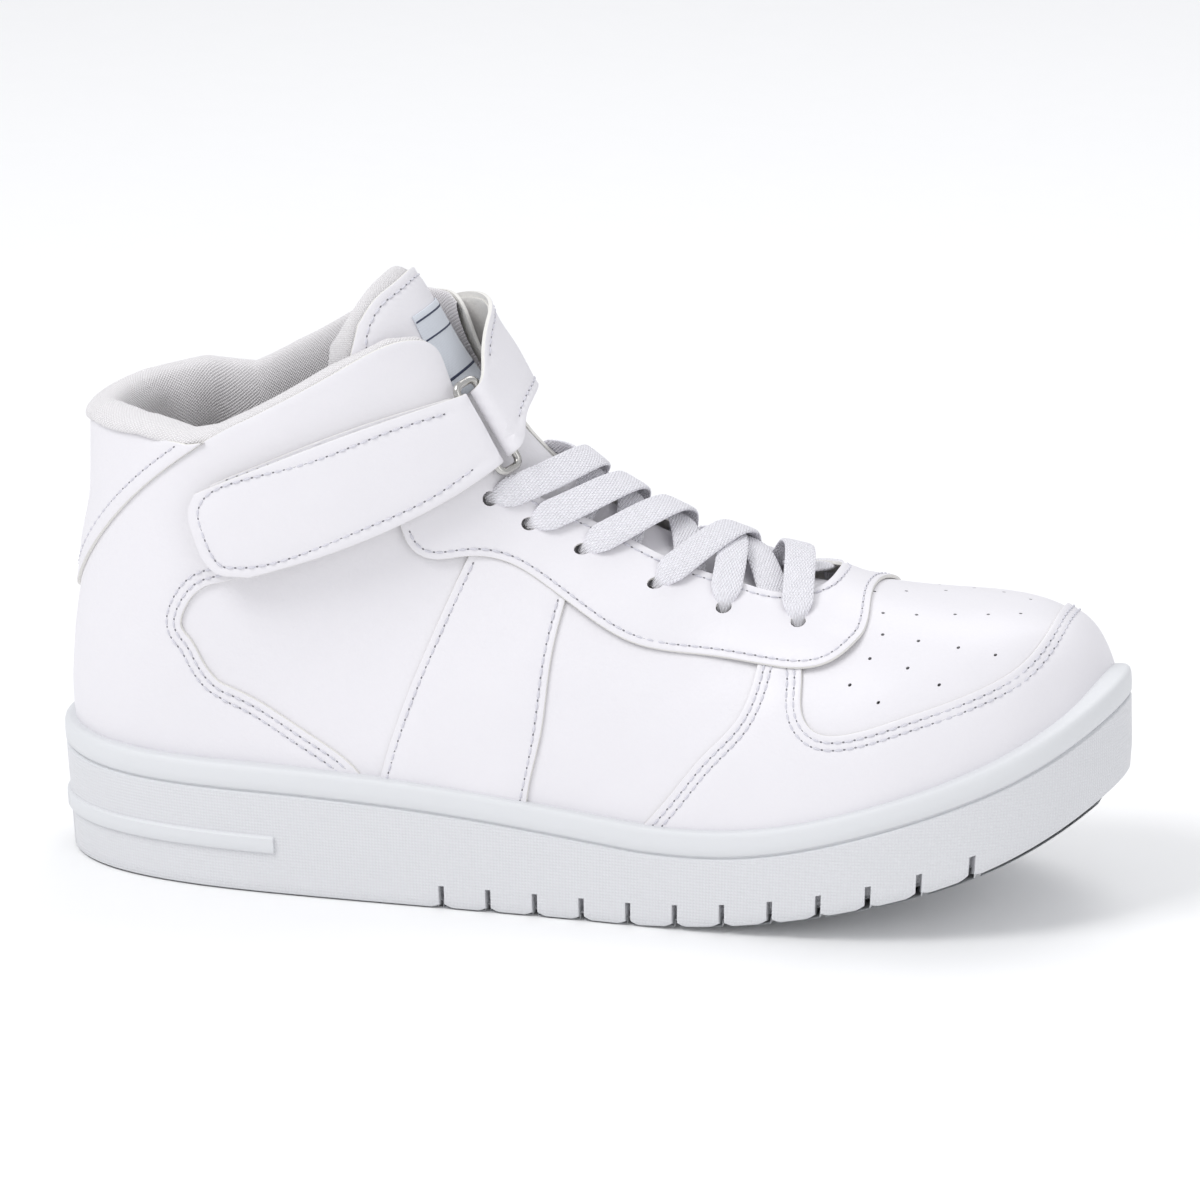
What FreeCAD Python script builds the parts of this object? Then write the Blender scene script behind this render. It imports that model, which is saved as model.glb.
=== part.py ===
import FreeCAD, Part
import math
import os

Vector = FreeCAD.Vector

# A right-foot strap high top. X runs from the heel to the toe, -Y is the outer (lateral) side,
# +Z is up, and the origin is under the middle of the sole. All sizes are millimetres.

DIMENSIONS = {
    "shoe_length": 300.0,        # outsole, heel to toe
    "leather": 1.2,              # every leather panel
    "ply_gap": 0.05,             # air between two plies
    "lining_ply": 0.8,           # knit lining
    "collar_foam": 6.8,          # padding behind the collar
    "insole_board_ply": 2.0,
    "sockliner_ply": 4.0,
    "footbed_heel": 22.0,        # top of the midsole filler above the ground, at the heel
    "footbed_ball": 12.0,        # the same under the ball of the foot
    "groove_drop": 6.8,          # groove below the top edge of the sole
    "groove_size": 1.1,
    "heel_bar_low": 12.0,        # raised bar round the heel
    "heel_bar_high": 16.5,
    "heel_bar_end": -79.0,
    "slot_count": 12,
    "slot_first": -31.0,
    "slot_pitch": 13.4,
    "slot_width": 1.5,
    "slot_height": 6.5,
    "slot_reach": 4.0,
    "eyelet_radius": 2.2,
    "vent_radius": 0.8,
    "wire_radius": 1.1,          # ring wire
    "fold_radius": 2.425,        # outside of the strap where it turns round the ring
    "far_fold_play": 0.9,        # air between the far strap's fold and the wire
    "ring_span": 7.0,            # centre to centre of the ring's two bars
    "strap_ply": 1.25,
    "lace_width": 8.0,
    "lace_ply": 1.4,
    "aglet_radius": 1.6,
    "aglet_length": 22.0,
}

doc = FreeCAD.newDocument("StrapHighTop")
sheet = doc.addObject("Spreadsheet::Sheet", "Dimensions")
for row, (alias, value) in enumerate(DIMENSIONS.items(), start=1):
    sheet.set("A%d" % row, alias)
    sheet.set("B%d" % row, str(value))
    sheet.setAlias("B%d" % row, alias)
doc.recompute()


def size(alias):
    return float(sheet.get(alias))


SCALE = size("shoe_length") / 300.0


# ---------------------------------------------------------------- curves

class Curve:
    """Natural cubic spline through hand-placed (position, value) knots."""

    def __init__(self, positions, values):
        self.at, self.values = list(positions), list(values)
        count = len(self.at)
        gaps = [self.at[i + 1] - self.at[i] for i in range(count - 1)]
        self.bend = [0.0] * count
        sweep, load = [0.0] * count, [0.0] * count
        for i in range(1, count - 1):
            slope_change = ((self.values[i + 1] - self.values[i]) / gaps[i]
                            - (self.values[i] - self.values[i - 1]) / gaps[i - 1])
            pivot = 2 * (gaps[i - 1] + gaps[i]) - gaps[i - 1] * sweep[i - 1]
            sweep[i] = gaps[i] / pivot
            load[i] = (6 * slope_change - gaps[i - 1] * load[i - 1]) / pivot
        for i in range(count - 2, 0, -1):
            self.bend[i] = load[i] - sweep[i] * self.bend[i + 1]

    def __call__(self, where):
        i = 0
        while i < len(self.at) - 2 and where > self.at[i + 1]:
            i += 1
        gap = self.at[i + 1] - self.at[i]
        right = (where - self.at[i]) / gap
        left = 1 - right
        return (left * self.values[i] + right * self.values[i + 1]
                + ((left ** 3 - left) * self.bend[i] + (right ** 3 - right) * self.bend[i + 1])
                * gap * gap / 6)


def table(columns, rows):
    """One Curve per named column, over the row number."""
    return {name: Curve(range(len(rows)), [row[i] for row in rows])
            for i, name in enumerate(columns)}


# ---------------------------------------------------------------- the upper as one skin

# Each station is a closed section in a plane that holds the Y direction. It runs from a ridge
# point (instep or toe line) to a base point (heel or underfoot line).
STATIONS = table(
    ("ridge_x", "ridge_z", "base_x", "base_z", "outer", "inner", "widest", "top_n", "base_n", "lean"),
    [
        (-36, 163, -141, 134, 35.0, 35.0, 0.50, 2.2, 2.3, 0),
        (-31, 148, -141, 112, 36.5, 35.5, 0.52, 2.2, 2.3, 0),
        (-19, 130, -144, 78, 39.5, 37.0, 0.55, 2.2, 2.3, 0),
        (0, 113, -139, 18, 39.5, 36.5, 0.66, 2.1, 2.3, 1),
        (22, 101.5, -70, 5, 43.5, 35.5, 0.70, 2.0, 2.6, 2),
        (45, 94, 0, 3, 45.5, 38.5, 0.72, 2.0, 2.6, 3),
        (68, 89, 50, 5, 47.5, 44.5, 0.72, 2.1, 2.6, 3),
        (95, 85.5, 88, 12, 45.5, 48.5, 0.66, 2.4, 2.6, 3),
        (120, 83.5, 116, 22, 35.5, 43.0, 0.60, 2.5, 2.5, 5),
        (137.5, 76, 135.5, 30, 20.5, 30.0, 0.58, 2.3, 2.3, 7),
        (145.5, 60, 145, 40, 5.0, 15.0, 0.50, 2.1, 2.1, 7),
    ])


def section_point(u, theta, inflate=0.0):
    """Skin point. theta 90 is the ridge, 180 the outer side, 270 the base, 0 the inner side."""
    s = {name: curve(u) for name, curve in STATIONS.items()}
    cosine, sine = math.cos(math.radians(theta)), math.sin(math.radians(theta))
    power = 2 / (s["top_n"] if sine >= 0 else s["base_n"])
    half_width = (s["outer"] if cosine < 0 else s["inner"]) + inflate
    across = math.copysign(half_width * abs(cosine) ** power, cosine)
    rise = abs(sine) ** power
    chord = math.hypot(s["base_x"] - s["ridge_x"], s["base_z"] - s["ridge_z"])
    spare = inflate / chord
    if sine >= 0:
        down = s["widest"] - (s["widest"] + spare) * rise
        across += s["lean"] * (1 - max(down, 0) / s["widest"])
    else:
        down = s["widest"] + (1 - s["widest"] + spare) * rise
    x = s["ridge_x"] + (s["base_x"] - s["ridge_x"]) * down
    z = s["ridge_z"] + (s["base_z"] - s["ridge_z"]) * down
    return Vector(x, across, z) * SCALE


def outward(point, u, theta):
    """Unit normal of a (u, theta) surface that wraps round the foot, pointing outward."""
    step_u, step_t = 0.02, 0.5
    along = point(u + step_u, theta) - point(u - step_u, theta)
    around = point(u, theta + step_t) - point(u, theta - step_t)
    normal = around.cross(along)
    normal.normalize()
    return normal


def skin(u, theta, depth=0.0):
    return section_point(u, theta) + outward(section_point, u, theta) * depth


def inset_skin(u, theta, depth=0.0):
    """Thick soft layers shrink the section itself, so that tight bends stay open."""
    return section_point(u, theta, depth)


# ---------------------------------------------------------------- panels cut from a surface

def clamped_knots(count):
    knots = list(range(count - 2))
    return knots, [4] + [1] * (len(knots) - 2) + [4]


def surface_patch(point, depth, u_span, v_span, u_step, v_step):
    """Cubic surface over a (u, v) window, and the map from (u, v) to its own parameters."""
    margin = 3
    u_start, v_start = u_span[0] - margin * u_step, v_span[0] - margin * v_step
    u_count = int(math.ceil((u_span[1] - u_span[0]) / u_step)) + 2 * margin + 1
    v_count = int(math.ceil((v_span[1] - v_span[0]) / v_step)) + 2 * margin + 1
    poles = [[point(u_start + i * u_step, v_start + j * v_step, depth) for j in range(v_count)]
             for i in range(u_count)]
    u_knots, u_mults = clamped_knots(u_count)
    v_knots, v_mults = clamped_knots(v_count)
    surface = Part.BSplineSurface()
    surface.buildFromPolesMultsKnots(poles, u_mults, v_mults, u_knots, v_knots, False, False, 3, 3)

    def to_parameters(u, v):
        return FreeCAD.Base.Vector2d((u - u_start) / u_step - 1, (v - v_start) / v_step - 1)
    return surface, to_parameters


def trimmed(point, outline, inner, outer, u_step=0.125, v_step=5.0):
    """Solid sheet: the outline, a closed list of (u, v) edges, between two depths."""
    flat = [p for side in outline for p in side]
    u_span = (min(p[0] for p in flat), max(p[0] for p in flat))
    v_span = (min(p[1] for p in flat), max(p[1] for p in flat))
    faces, rims = [], []
    for depth in (inner, outer):
        surface, to_parameters = surface_patch(point, depth, u_span, v_span, u_step, v_step)
        edges = []
        for side in outline:
            curve = Part.Geom2d.BSplineCurve2d()
            curve.interpolate([to_parameters(*p) for p in side])
            edges.append(curve.toShape(surface))
        face = Part.Face(surface, Part.Wire(edges))
        if not face.isValid():
            face.validate()
        faces.append(face)
        rims.append(edges)
    walls = [Part.makeRuledSurface(low, high) for low, high in zip(*rims)]
    shell = Part.makeShell(faces + walls)
    shell.sewShape()
    solid = Part.makeSolid(shell if shell.ShapeType == "Shell" else shell.Shells[0])
    if solid.Volume < 0:
        solid.reverse()
    return solid


def loop(*sides):
    """Closed outline: each side starts where the last one ended."""
    sides = [list(side) for side in sides]
    for i, side in enumerate(sides):
        if side[0] != sides[i - 1][-1] or len(side) == 1:
            side.insert(0, sides[i - 1][-1])
    return sides


def mirrored(outline, axis=90.0):
    """The same outline on the other side of the foot."""
    return [[(u, 2 * axis - theta) for u, theta in side] for side in outline]


finished = []


def add_part(label, shape):
    part = doc.addObject("Part::Feature", label)
    part.Label = label
    part.Shape = shape.Solids[0] if len(shape.Solids) == 1 else shape
    part.Placement = FreeCAD.Placement()
    finished.append(part)


def add_panel(label, outline, inner, outer, point=skin, **steps):
    add_part(label, trimmed(point, outline, inner, outer, **steps))


def mirror_side(points, axis=90.0):
    return [(u, 2 * axis - theta) for u, theta in reversed(points)]


LEATHER, GAP, LINING = size("leather"), size("ply_gap"), size("lining_ply")
OVERLAY = (-LEATHER, 0.0)
BASE = (-2 * LEATHER - GAP, -LEATHER - GAP)
RAISED = (GAP, LEATHER)
LINING_FACE = BASE[0] - GAP
SIDE_LINING = (LINING_FACE - LINING, LINING_FACE)
PAD = (LINING_FACE - size("collar_foam"), LINING_FACE - 0.6)
PAD_LINING = (PAD[0] - GAP - LINING, PAD[0] - GAP)
PUFF = (LINING_FACE - LINING, LINING_FACE)
TOE_LINING = (PUFF[0] - GAP - LINING, PUFF[0] - GAP)


# ---------------------------------------------------------------- outlines of the upper

HEEL_SEAM = 269.3
C_EDGE = [(3.82, 180), (3.73, 178), (3.43, 175), (3.05, 176), (2.68, 184), (2.50, 189),
          (2.40, 192), (2.30, 190), (2.28, 182), (2.32, 174), (2.36, 160), (2.40, 146)]


def ankle_outline(collar_edge):
    """Heel and ankle overlay, from the back seam to the throat."""
    bottom = [(2.87, 240), (2.97, 220), (3.17, 206), (3.45, 200), (3.80, 197), (4.02, 196)]
    throat = [(2.45, 132), (2.45, 121)]
    front = [(1.80, 118), (1.10, 116)]
    back_curve = [(1.33, 209), (1.65, 228), (1.92, 248), (2.05, HEEL_SEAM)]
    seam = [(2.80, HEEL_SEAM)]
    return loop(bottom, C_EDGE, throat, front, collar_edge, back_curve, seam)


OUTER_COLLAR = [(0.75, 117), (0.55, 122), (0.42, 134), (0.60, 155), (0.75, 167), (1.00, 187), (1.07, 192)]
INNER_COLLAR = [(0.50, 117), (0.30, 122), (0.18, 134), (0.25, 155), (0.35, 167), (0.65, 185), (0.95, 192)]

QUARTER = loop(
    [(2.20, 128), (2.12, 150), (2.08, 174), (2.08, 187), (2.15, 197), (2.40, 200), (2.60, 196),
     (2.85, 190), (3.10, 185), (3.40, 185), (3.62, 190), (3.85, 205)],
    [(4.60, 206), (5.40, 206)],
    [(5.58, 182), (5.68, 172), (5.80, 161), (5.95, 152), (5.98, 140), (5.92, 128)],
    [(5.20, 127), (4.50, 127), (3.80, 126), (3.20, 126), (2.70, 129), (2.20, 128)])

EYESTAY_OUTER = [(1.80, 148), (2.38, 146), (2.63, 145), (2.85, 141), (2.97, 136), (3.15, 132),
                 (3.55, 131), (4.23, 136), (4.60, 138), (5.10, 136.5), (5.78, 136), (6.33, 133),
                 (6.53, 122), (6.50, 105), (6.45, 90)]
THROAT = [(1.80, 121), (2.37, 119), (2.85, 114.5), (3.42, 110.5), (3.93, 110.5), (4.48, 112),
          (5.10, 112), (5.68, 110.5), (5.95, 104), (6.03, 90)]

TOE_WINDOW = [(5.60, 128), (6.00, 131.5), (6.12, 140), (6.20, 149), (6.37, 155), (6.67, 156.5),
              (7.08, 154.5), (7.65, 150.5), (8.13, 141), (8.40, 122), (8.47, 105), (8.48, 90)]
TOE_CAP_REAR = [(5.10, 205), (5.28, 180), (5.37, 172), (5.50, 161), (5.65, 152), (5.68, 142), (5.60, 128)]
TOE_CAP_FOOT = [(10.0, 90), (9.93, 140), (9.50, 183), (8.80, 200), (8.00, 205), (7.00, 207), (6.00, 207),
                (5.10, 205)]

EYESTAY = loop(
    EYESTAY_OUTER[1:] + mirror_side(EYESTAY_OUTER)[1:],
    [(1.80, 59)],
    [(u, 180 - theta) for u, theta in THROAT[1:]] + THROAT[::-1][1:],
    [EYESTAY_OUTER[0]])

SADDLE_BAND = loop(
    [(2.93, 134), (3.35, 150), (3.62, 163), (3.90, 180), (4.20, 205)],
    [(4.85, 206)],
    [(4.62, 180), (4.42, 163), (4.15, 148), (3.80, 130)],
    [(3.35, 127), (2.93, 134)])



ACHILLES = loop(
    [(1.00, 196), (0.73, 212), (0.50, 240), (0.46, 270), (0.46, 300), (0.55, 328), (0.75, 345)],
    [(1.60, 340)],
    [(1.95, 315), (2.22, 292), (2.30, 270), (2.22, 248), (1.95, 225), (1.45, 190)],
    [(1.00, 196)])

TOE_CAP = loop(
    TOE_WINDOW + mirror_side(TOE_WINDOW)[1:],
    mirror_side(TOE_CAP_REAR)[1:],
    mirror_side(TOE_CAP_FOOT)[1:] + TOE_CAP_FOOT[1:],
    TOE_CAP_REAR[1:])

TOE_BOX = loop(
    [(6.05, 164), (6.07, 90), (6.05, 16)],
    [(7.60, 14), (8.50, 22)],
    [(8.80, 55), (8.85, 90), (8.80, 125), (8.50, 158)],
    [(7.60, 166), (6.05, 164)])

SIDE_LINING_OUTLINE = loop(
    [(2.60, 200), (3.30, 203), (4.50, 205), (5.90, 205)],
    [(5.95, 128)],
    [(4.50, 128), (3.00, 128)],
    [(2.70, 150), (2.60, 200)])

HEEL_COUNTER = loop(
    [(2.30, 212), (2.37, 240), (2.42, 270), (2.37, 300), (2.30, 328)],
    [(2.70, 336), (3.05, 345), (3.30, 346)],
    [(3.20, 330), (3.05, 310), (2.97, 290), (2.95, 270), (2.97, 250), (3.05, 230), (3.20, 210),
     (3.30, 194)],
    [(3.05, 195), (2.70, 204), (2.30, 212)])

COLLAR_PAD = loop(
    [(0.98, 172), (1.10, 190), (0.83, 212), (0.56, 240), (0.52, 270), (0.52, 300), (0.52, 330),
     (0.42, 360), (0.40, 368)],
    [(2.20, 368)],
    [(2.30, 320), (2.28, 270), (2.30, 220), (2.20, 172)],
    [(0.98, 172)])

TOE_PUFF = loop(
    [(7.80, 152), (7.50, 120), (7.40, 90), (7.50, 60), (7.80, 28)],
    [(8.80, 5), (9.50, 10)],
    [(9.72, 50), (9.78, 90), (9.72, 130), (9.50, 170)],
    [(8.80, 175), (7.80, 152)])

VAMP_LINING = loop(
    [(6.10, 198), (6.10, 90), (6.10, -18)],
    [(8.00, -18), (9.20, -5)],
    [(9.65, 50), (9.72, 90), (9.65, 130), (9.20, 185)],
    [(8.00, 198), (6.10, 198)])

EYELETS = [(2.62, 125), (3.05, 121.5), (3.60, 119.5), (4.38, 121), (5.10, 122), (5.90, 121)]
VENTS = [(6.55, 140), (6.85, 147), (7.05, 134), (7.40, 143), (7.08, 121), (7.50, 125), (7.92, 130),
         (6.67, 130), (6.72, 119), (6.65, 108), (6.97, 106), (7.34, 103), (7.68, 101), (8.03, 97),
         (6.47, 95), (6.75, 90), (7.10, 85)]


def drills(spots, radius, reach=6.0):
    """One cylinder through the skin at each (u, theta) spot."""
    tools = []
    for u, theta in spots:
        axis = outward(section_point, u, theta)
        tools.append(Part.makeCylinder(radius, 2 * reach, skin(u, theta) - axis * reach, axis))
    return Part.makeCompound(tools)


def both_sides(spots):
    return spots + [(u, 180 - theta) for u, theta in spots]


def build_upper():
    add_panel("ankle_panel_lateral", ankle_outline(OUTER_COLLAR), *OVERLAY)
    add_panel("ankle_panel_medial", mirrored(ankle_outline(INNER_COLLAR)), *OVERLAY)
    add_panel("quarter_lateral", QUARTER, *BASE)
    add_panel("quarter_medial", mirrored(QUARTER), *BASE)
    add_panel("saddle_band_lateral", SADDLE_BAND, *OVERLAY)
    add_panel("saddle_band_medial", mirrored(SADDLE_BAND), *OVERLAY)
    add_panel("achilles_panel", ACHILLES, *BASE)
    add_panel("toe_cap", TOE_CAP, *OVERLAY)
    toe_box = trimmed(skin, TOE_BOX, *BASE)
    vents = VENTS + [(u, 180 - theta) for u, theta in VENTS if theta > 96]
    add_part("toe_box", toe_box.cut(drills(vents, size("vent_radius"))))
    eyestay = trimmed(skin, EYESTAY, *RAISED)
    add_part("eyestay", eyestay.cut(drills(both_sides(EYELETS), size("eyelet_radius"))))


def build_linings():
    add_panel("quarter_lining_lateral", SIDE_LINING_OUTLINE, *SIDE_LINING)
    add_panel("quarter_lining_medial", mirrored(SIDE_LINING_OUTLINE), *SIDE_LINING)
    add_panel("heel_counter", HEEL_COUNTER, *BASE)
    add_panel("collar_pad", COLLAR_PAD, *PAD, point=inset_skin)
    add_panel("collar_lining", COLLAR_PAD, *PAD_LINING, point=inset_skin)
    add_panel("toe_puff", TOE_PUFF, *PUFF)
    add_panel("vamp_lining", VAMP_LINING, *TOE_LINING)


# ---------------------------------------------------------------- tongue

TONGUE = table(
    ("x", "z", "half_width", "wrap"),
    [
        (59, 84, 20, 6),
        (40, 90, 21, 12),
        (16, 99.5, 20.5, 20),
        (-3, 110, 21.3, 31),
        (-21, 126, 25, 35),
        (-36, 144, 28, 38),
        (-45, 159, 28, 34),
        (-53, 170, 25, 24),
    ])
TONGUE_SPLIT = 3.4


def tongue_sheet(k, phi):
    """Tongue face. k runs from the vamp to the top edge, phi across it from -90 to 90."""
    s = {name: curve(k) for name, curve in TONGUE.items()}
    ahead = Vector(TONGUE["x"](k + 0.05) - TONGUE["x"](k - 0.05), 0,
                   TONGUE["z"](k + 0.05) - TONGUE["z"](k - 0.05))
    ahead.normalize()
    inward = Vector(-ahead.z, 0, ahead.x)
    angle = math.radians(phi)
    back = s["wrap"] * (1 - math.cos(angle))
    return (Vector(s["x"], s["half_width"] * math.sin(angle), s["z"]) + inward * back) * SCALE


def tongue(k, phi, depth=0.0):
    return tongue_sheet(k, phi) + outward(tongue_sheet, k, phi) * depth


def tongue_outline(foot, foot_side, shoulder, top, side=72):
    return loop([(foot_side, -side), (foot, 0), (foot_side, side)],
                [((foot_side + shoulder) / 2, side), (shoulder, side)],
                [(top - 0.08, side / 2), (top, 0), (top - 0.08, -side / 2), (shoulder, -side)],
                [((foot_side + shoulder) / 2, -side), (foot_side, -side)])


def build_tongue():
    lower = tongue_outline(0.0, 0.0, TONGUE_SPLIT - 0.12, TONGUE_SPLIT - 0.05)
    upper = tongue_outline(TONGUE_SPLIT, TONGUE_SPLIT + 0.9, 6.5, 7.0)
    face = (-LEATHER, 0.0)
    for name, outline, foam in (("tongue", lower, 4.0), ("tongue_top", upper, 7.0)):
        pad = (-LEATHER - GAP - foam, -LEATHER - GAP)
        lining = (pad[0] - GAP - LINING, pad[0] - GAP)
        add_panel(name + "_face", outline, *face, point=tongue, v_step=6.0)
        add_panel(name + "_pad", outline, *pad, point=tongue, v_step=6.0)
        add_panel(name + "_lining", outline, *lining, point=tongue, v_step=6.0)
    label = loop([(5.1, -24), (5.1, 0), (5.1, 24)], [(6.3, 24)], [(6.3, 0), (6.3, -24)], [(5.1, -24)])
    add_panel("tongue_label", label, GAP, 0.6, point=tongue, v_step=6.0)


# ---------------------------------------------------------------- ankle strap and its ring

STRAP_PLY = size("strap_ply")
PILE_PLY, HOOK_PLY, PEEL_GAP = 1.2, 0.7, 0.35
STRAP_BASE = (LEATHER + 0.1, LEATHER + 0.1 + STRAP_PLY)
PILE = (STRAP_BASE[1] + GAP, STRAP_BASE[1] + GAP + PILE_PLY)
HOOK = (PILE[1] + PEEL_GAP, PILE[1] + PEEL_GAP + HOOK_PLY)
FLAP = (HOOK[1] + GAP, HOOK[1] + GAP + STRAP_PLY)
BAR_DEPTH = (STRAP_BASE[0] + FLAP[1]) / 2
BAR_ANGLE = 119.5
BAR_TOP, BAR_FOOT = 1.50, 2.36


def strap_outline(top, foot, front, free_end):
    """Strap lying round the outer ankle, with its rounded free end at the back."""
    return loop([(top + 0.14, free_end), (top + 0.04, 169), (top, 145), (top + 0.07, front)],
                [(foot - 0.03, front)],
                [(foot + 0.02, 135), (foot, 155), (foot - 0.08, 176)],
                [(foot - 0.22, free_end - 6), (top + 0.45, free_end), (top + 0.25, free_end + 1.5),
                 (top + 0.14, free_end)])


def ring_frame():
    """Bar ends, bar direction and the direction across the ring."""
    top, foot = skin(BAR_TOP, BAR_ANGLE, BAR_DEPTH), skin(BAR_FOOT, BAR_ANGLE, BAR_DEPTH)
    along = (foot - top)
    along.normalize()
    middle = (top + foot) * 0.5
    across = skin((BAR_TOP + BAR_FOOT) / 2, BAR_ANGLE - 10, BAR_DEPTH) - middle
    across = across - along * across.dot(along)
    across.normalize()
    return top, foot, along, across


def rounded_ring(corner=2.2, overrun=2.6):
    top, foot, along, across = ring_frame()
    span, wire = size("ring_span"), size("wire_radius")
    length = (foot - top).Length + 2 * overrun
    start = top - along * overrun
    turn = corner * (1 - math.sqrt(0.5))

    def at(a, c):
        return start + along * a + across * c
    edges = []
    corners = [((corner, 0), (length - corner, 0), (length - turn, turn), (length, corner)),
               ((length, corner), (length, span - corner), (length - turn, span - turn),
                (length - corner, span)),
               ((length - corner, span), (corner, span), (turn, span - turn), (0, span - corner)),
               ((0, span - corner), (0, corner), (turn, turn), (corner, 0))]
    for begin, end, middle, finish in corners:
        edges.append(Part.LineSegment(at(*begin), at(*end)).toShape())
        edges.append(Part.Arc(at(*end), at(*middle), at(*finish)).toShape())
    path = Part.Wire(edges)
    profile = Part.Wire([Part.makeCircle(wire, at(corner, 0), along)])
    return path.makePipeShell([profile], True, False)


def add_cylinder(label, radius, height, base, along):
    """Cylinder whose radius and height are expressions on the sheet."""
    cylinder = doc.addObject("Part::Cylinder", label)
    cylinder.setExpression("Radius", radius)
    cylinder.setExpression("Height", height)
    cylinder.Placement = FreeCAD.Placement(base, FreeCAD.Rotation(Vector(0, 0, 1), along))
    return cylinder


def add_fold(label, shift, bore, outside):
    """Strap turned round one bar of the ring."""
    top, foot, along, across = ring_frame()
    base, height = top + across * shift, "%.4f" % (foot - top).Length
    fold = doc.addObject("Part::Cut", label)
    fold.Base = add_cylinder(label + "_outside", outside, height, base, along)
    fold.Tool = add_cylinder(label + "_bore", bore, height, base, along)
    finished.append(fold)


FAR_STRAP_LIFT = Curve([-12, 20, 60, 90, 103], [1.35, 1.35, 3.4, 4.6, 3.4])


def far_strap_point(u, theta, depth=0.0):
    return skin(u, theta, FAR_STRAP_LIFT(theta) + depth)


def build_strap():
    base = strap_outline(1.40, 2.36, 124.2, 187)
    pile = strap_outline(1.44, 2.30, 128.0, 184)
    flap = strap_outline(1.44, 2.38, 124.2, 190)
    hook = strap_outline(1.52, 2.28, 140.0, 184)
    add_panel("strap_anchor", base, *STRAP_BASE)
    add_panel("loop_pile_patch", pile, *PILE)
    add_panel("strap_flap", flap, *FLAP)
    add_panel("hook_patch", hook, *HOOK)
    add_part("strap_ring", rounded_ring())
    add_fold("strap_fold", 0.0, "Dimensions.wire_radius + 0.1", "Dimensions.fold_radius")
    far_bore = "Dimensions.wire_radius + Dimensions.far_fold_play"
    add_fold("far_strap_fold", size("ring_span"), far_bore,
             far_bore + " + Dimensions.strap_ply - 0.1")
    far = loop([(1.06, 103), (0.82, 97), (0.55, 86), (0.38, 72), (0.32, 58), (0.42, 40), (0.75, 20),
                (1.20, 2), (1.50, -8)],
               [(1.70, -11), (2.05, -11), (2.22, -8)],
               [(2.18, 8), (2.08, 30), (1.98, 55), (1.93, 72), (1.94, 86), (2.00, 95), (2.10, 103)],
               [(1.06, 103)])
    add_panel("far_strap", far, 0.0, STRAP_PLY, point=far_strap_point)
    lined = loop([(0.94, 98), (0.64, 86), (0.48, 72), (0.42, 58), (0.52, 40), (0.90, 22)],
                 [(2.04, 22)], [(2.00, 35), (1.90, 55), (1.85, 72), (1.86, 86), (1.94, 98)],
                 [(0.94, 98)])
    add_panel("far_strap_lining", lined, -0.6, -GAP, point=far_strap_point)


# ---------------------------------------------------------------- lace

# Height of a run above the skin, by angle. The near end of a run is at 120 degrees and more.
OVER = Curve([58, 74, 78, 90, 105, 122], [2.6, 2.8, 3.1, 3.5, 3.0, 1.7])
BETWEEN = Curve([58, 74, 90, 105, 122], [0.9, 1.1, 1.5, 1.9, 1.7])
UNDER = Curve([58, 70, 90, 106, 122], [1.7, 1.2, -0.5, -1.8, -1.9])

# (u, theta) of both ends, height curve, and the angles between which the run lies free
RUNS = [((2.62, 125), (3.15, 60), OVER, (75, 120)), ((3.05, 121.5), (3.75, 60), OVER, (75, 120)),
        ((3.60, 119.5), (4.35, 60), OVER, (75, 120)), ((4.38, 121), (5.05, 60), OVER, (75, 120)),
        ((5.10, 122), (4.35, 60), BETWEEN, (75, 120)), ((5.90, 121), (5.20, 60), OVER, (75, 120)),
        ((3.40, 120), (2.55, 57), UNDER, (60, 105)), ((4.00, 120), (3.15, 60), UNDER, (60, 105)),
        ((4.75, 120), (3.85, 60), UNDER, (60, 105)), ((5.75, 120), (4.60, 60), UNDER, (60, 105))]


def lace_run(start, end, lift, span):
    """Flat ribbon from eyelet to eyelet, given as theta and u of each end."""
    half = size("lace_width") / 2
    reach = Curve([start[1], end[1]] if start[1] < end[1] else [end[1], start[1]],
                  [start[0], end[0]] if start[1] < end[1] else [end[0], start[0]])

    def ribbon_sheet(w, theta):
        u = reach(theta)
        here, ahead = skin(u, theta, lift(theta)), skin(u + 0.05, theta, lift(theta))
        sideways = ahead - here
        sideways.normalize()
        return here + sideways * w

    def ribbon(w, theta, depth=0.0):
        return ribbon_sheet(w, theta) + outward(ribbon_sheet, w, theta) * depth
    outline = loop([(-half, span[0]), (-half, sum(span) / 2), (-half, span[1])], [(half, span[1])],
                   [(half, sum(span) / 2), (half, span[0])], [(-half, span[0])])
    return trimmed(ribbon, outline, 0.0, size("lace_ply"), u_step=1.0, v_step=6.0)


def build_lace():
    runs = [lace_run(*run) for run in RUNS]
    add_part("lace", Part.makeCompound(runs))
    aglets = doc.addObject("Part::Compound", "aglets")
    links = []
    for side, theta in (("outer", 163), ("inner", 17)):
        tip, tail = skin(3.9, theta, -7.0), skin(3.0, theta, -7.0)
        links.append(add_cylinder("aglet_" + side, "Dimensions.aglet_radius",
                                  "Dimensions.aglet_length", tail, tip - tail))
    aglets.Links = links
    finished.append(aglets)


# ---------------------------------------------------------------- sole unit

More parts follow.
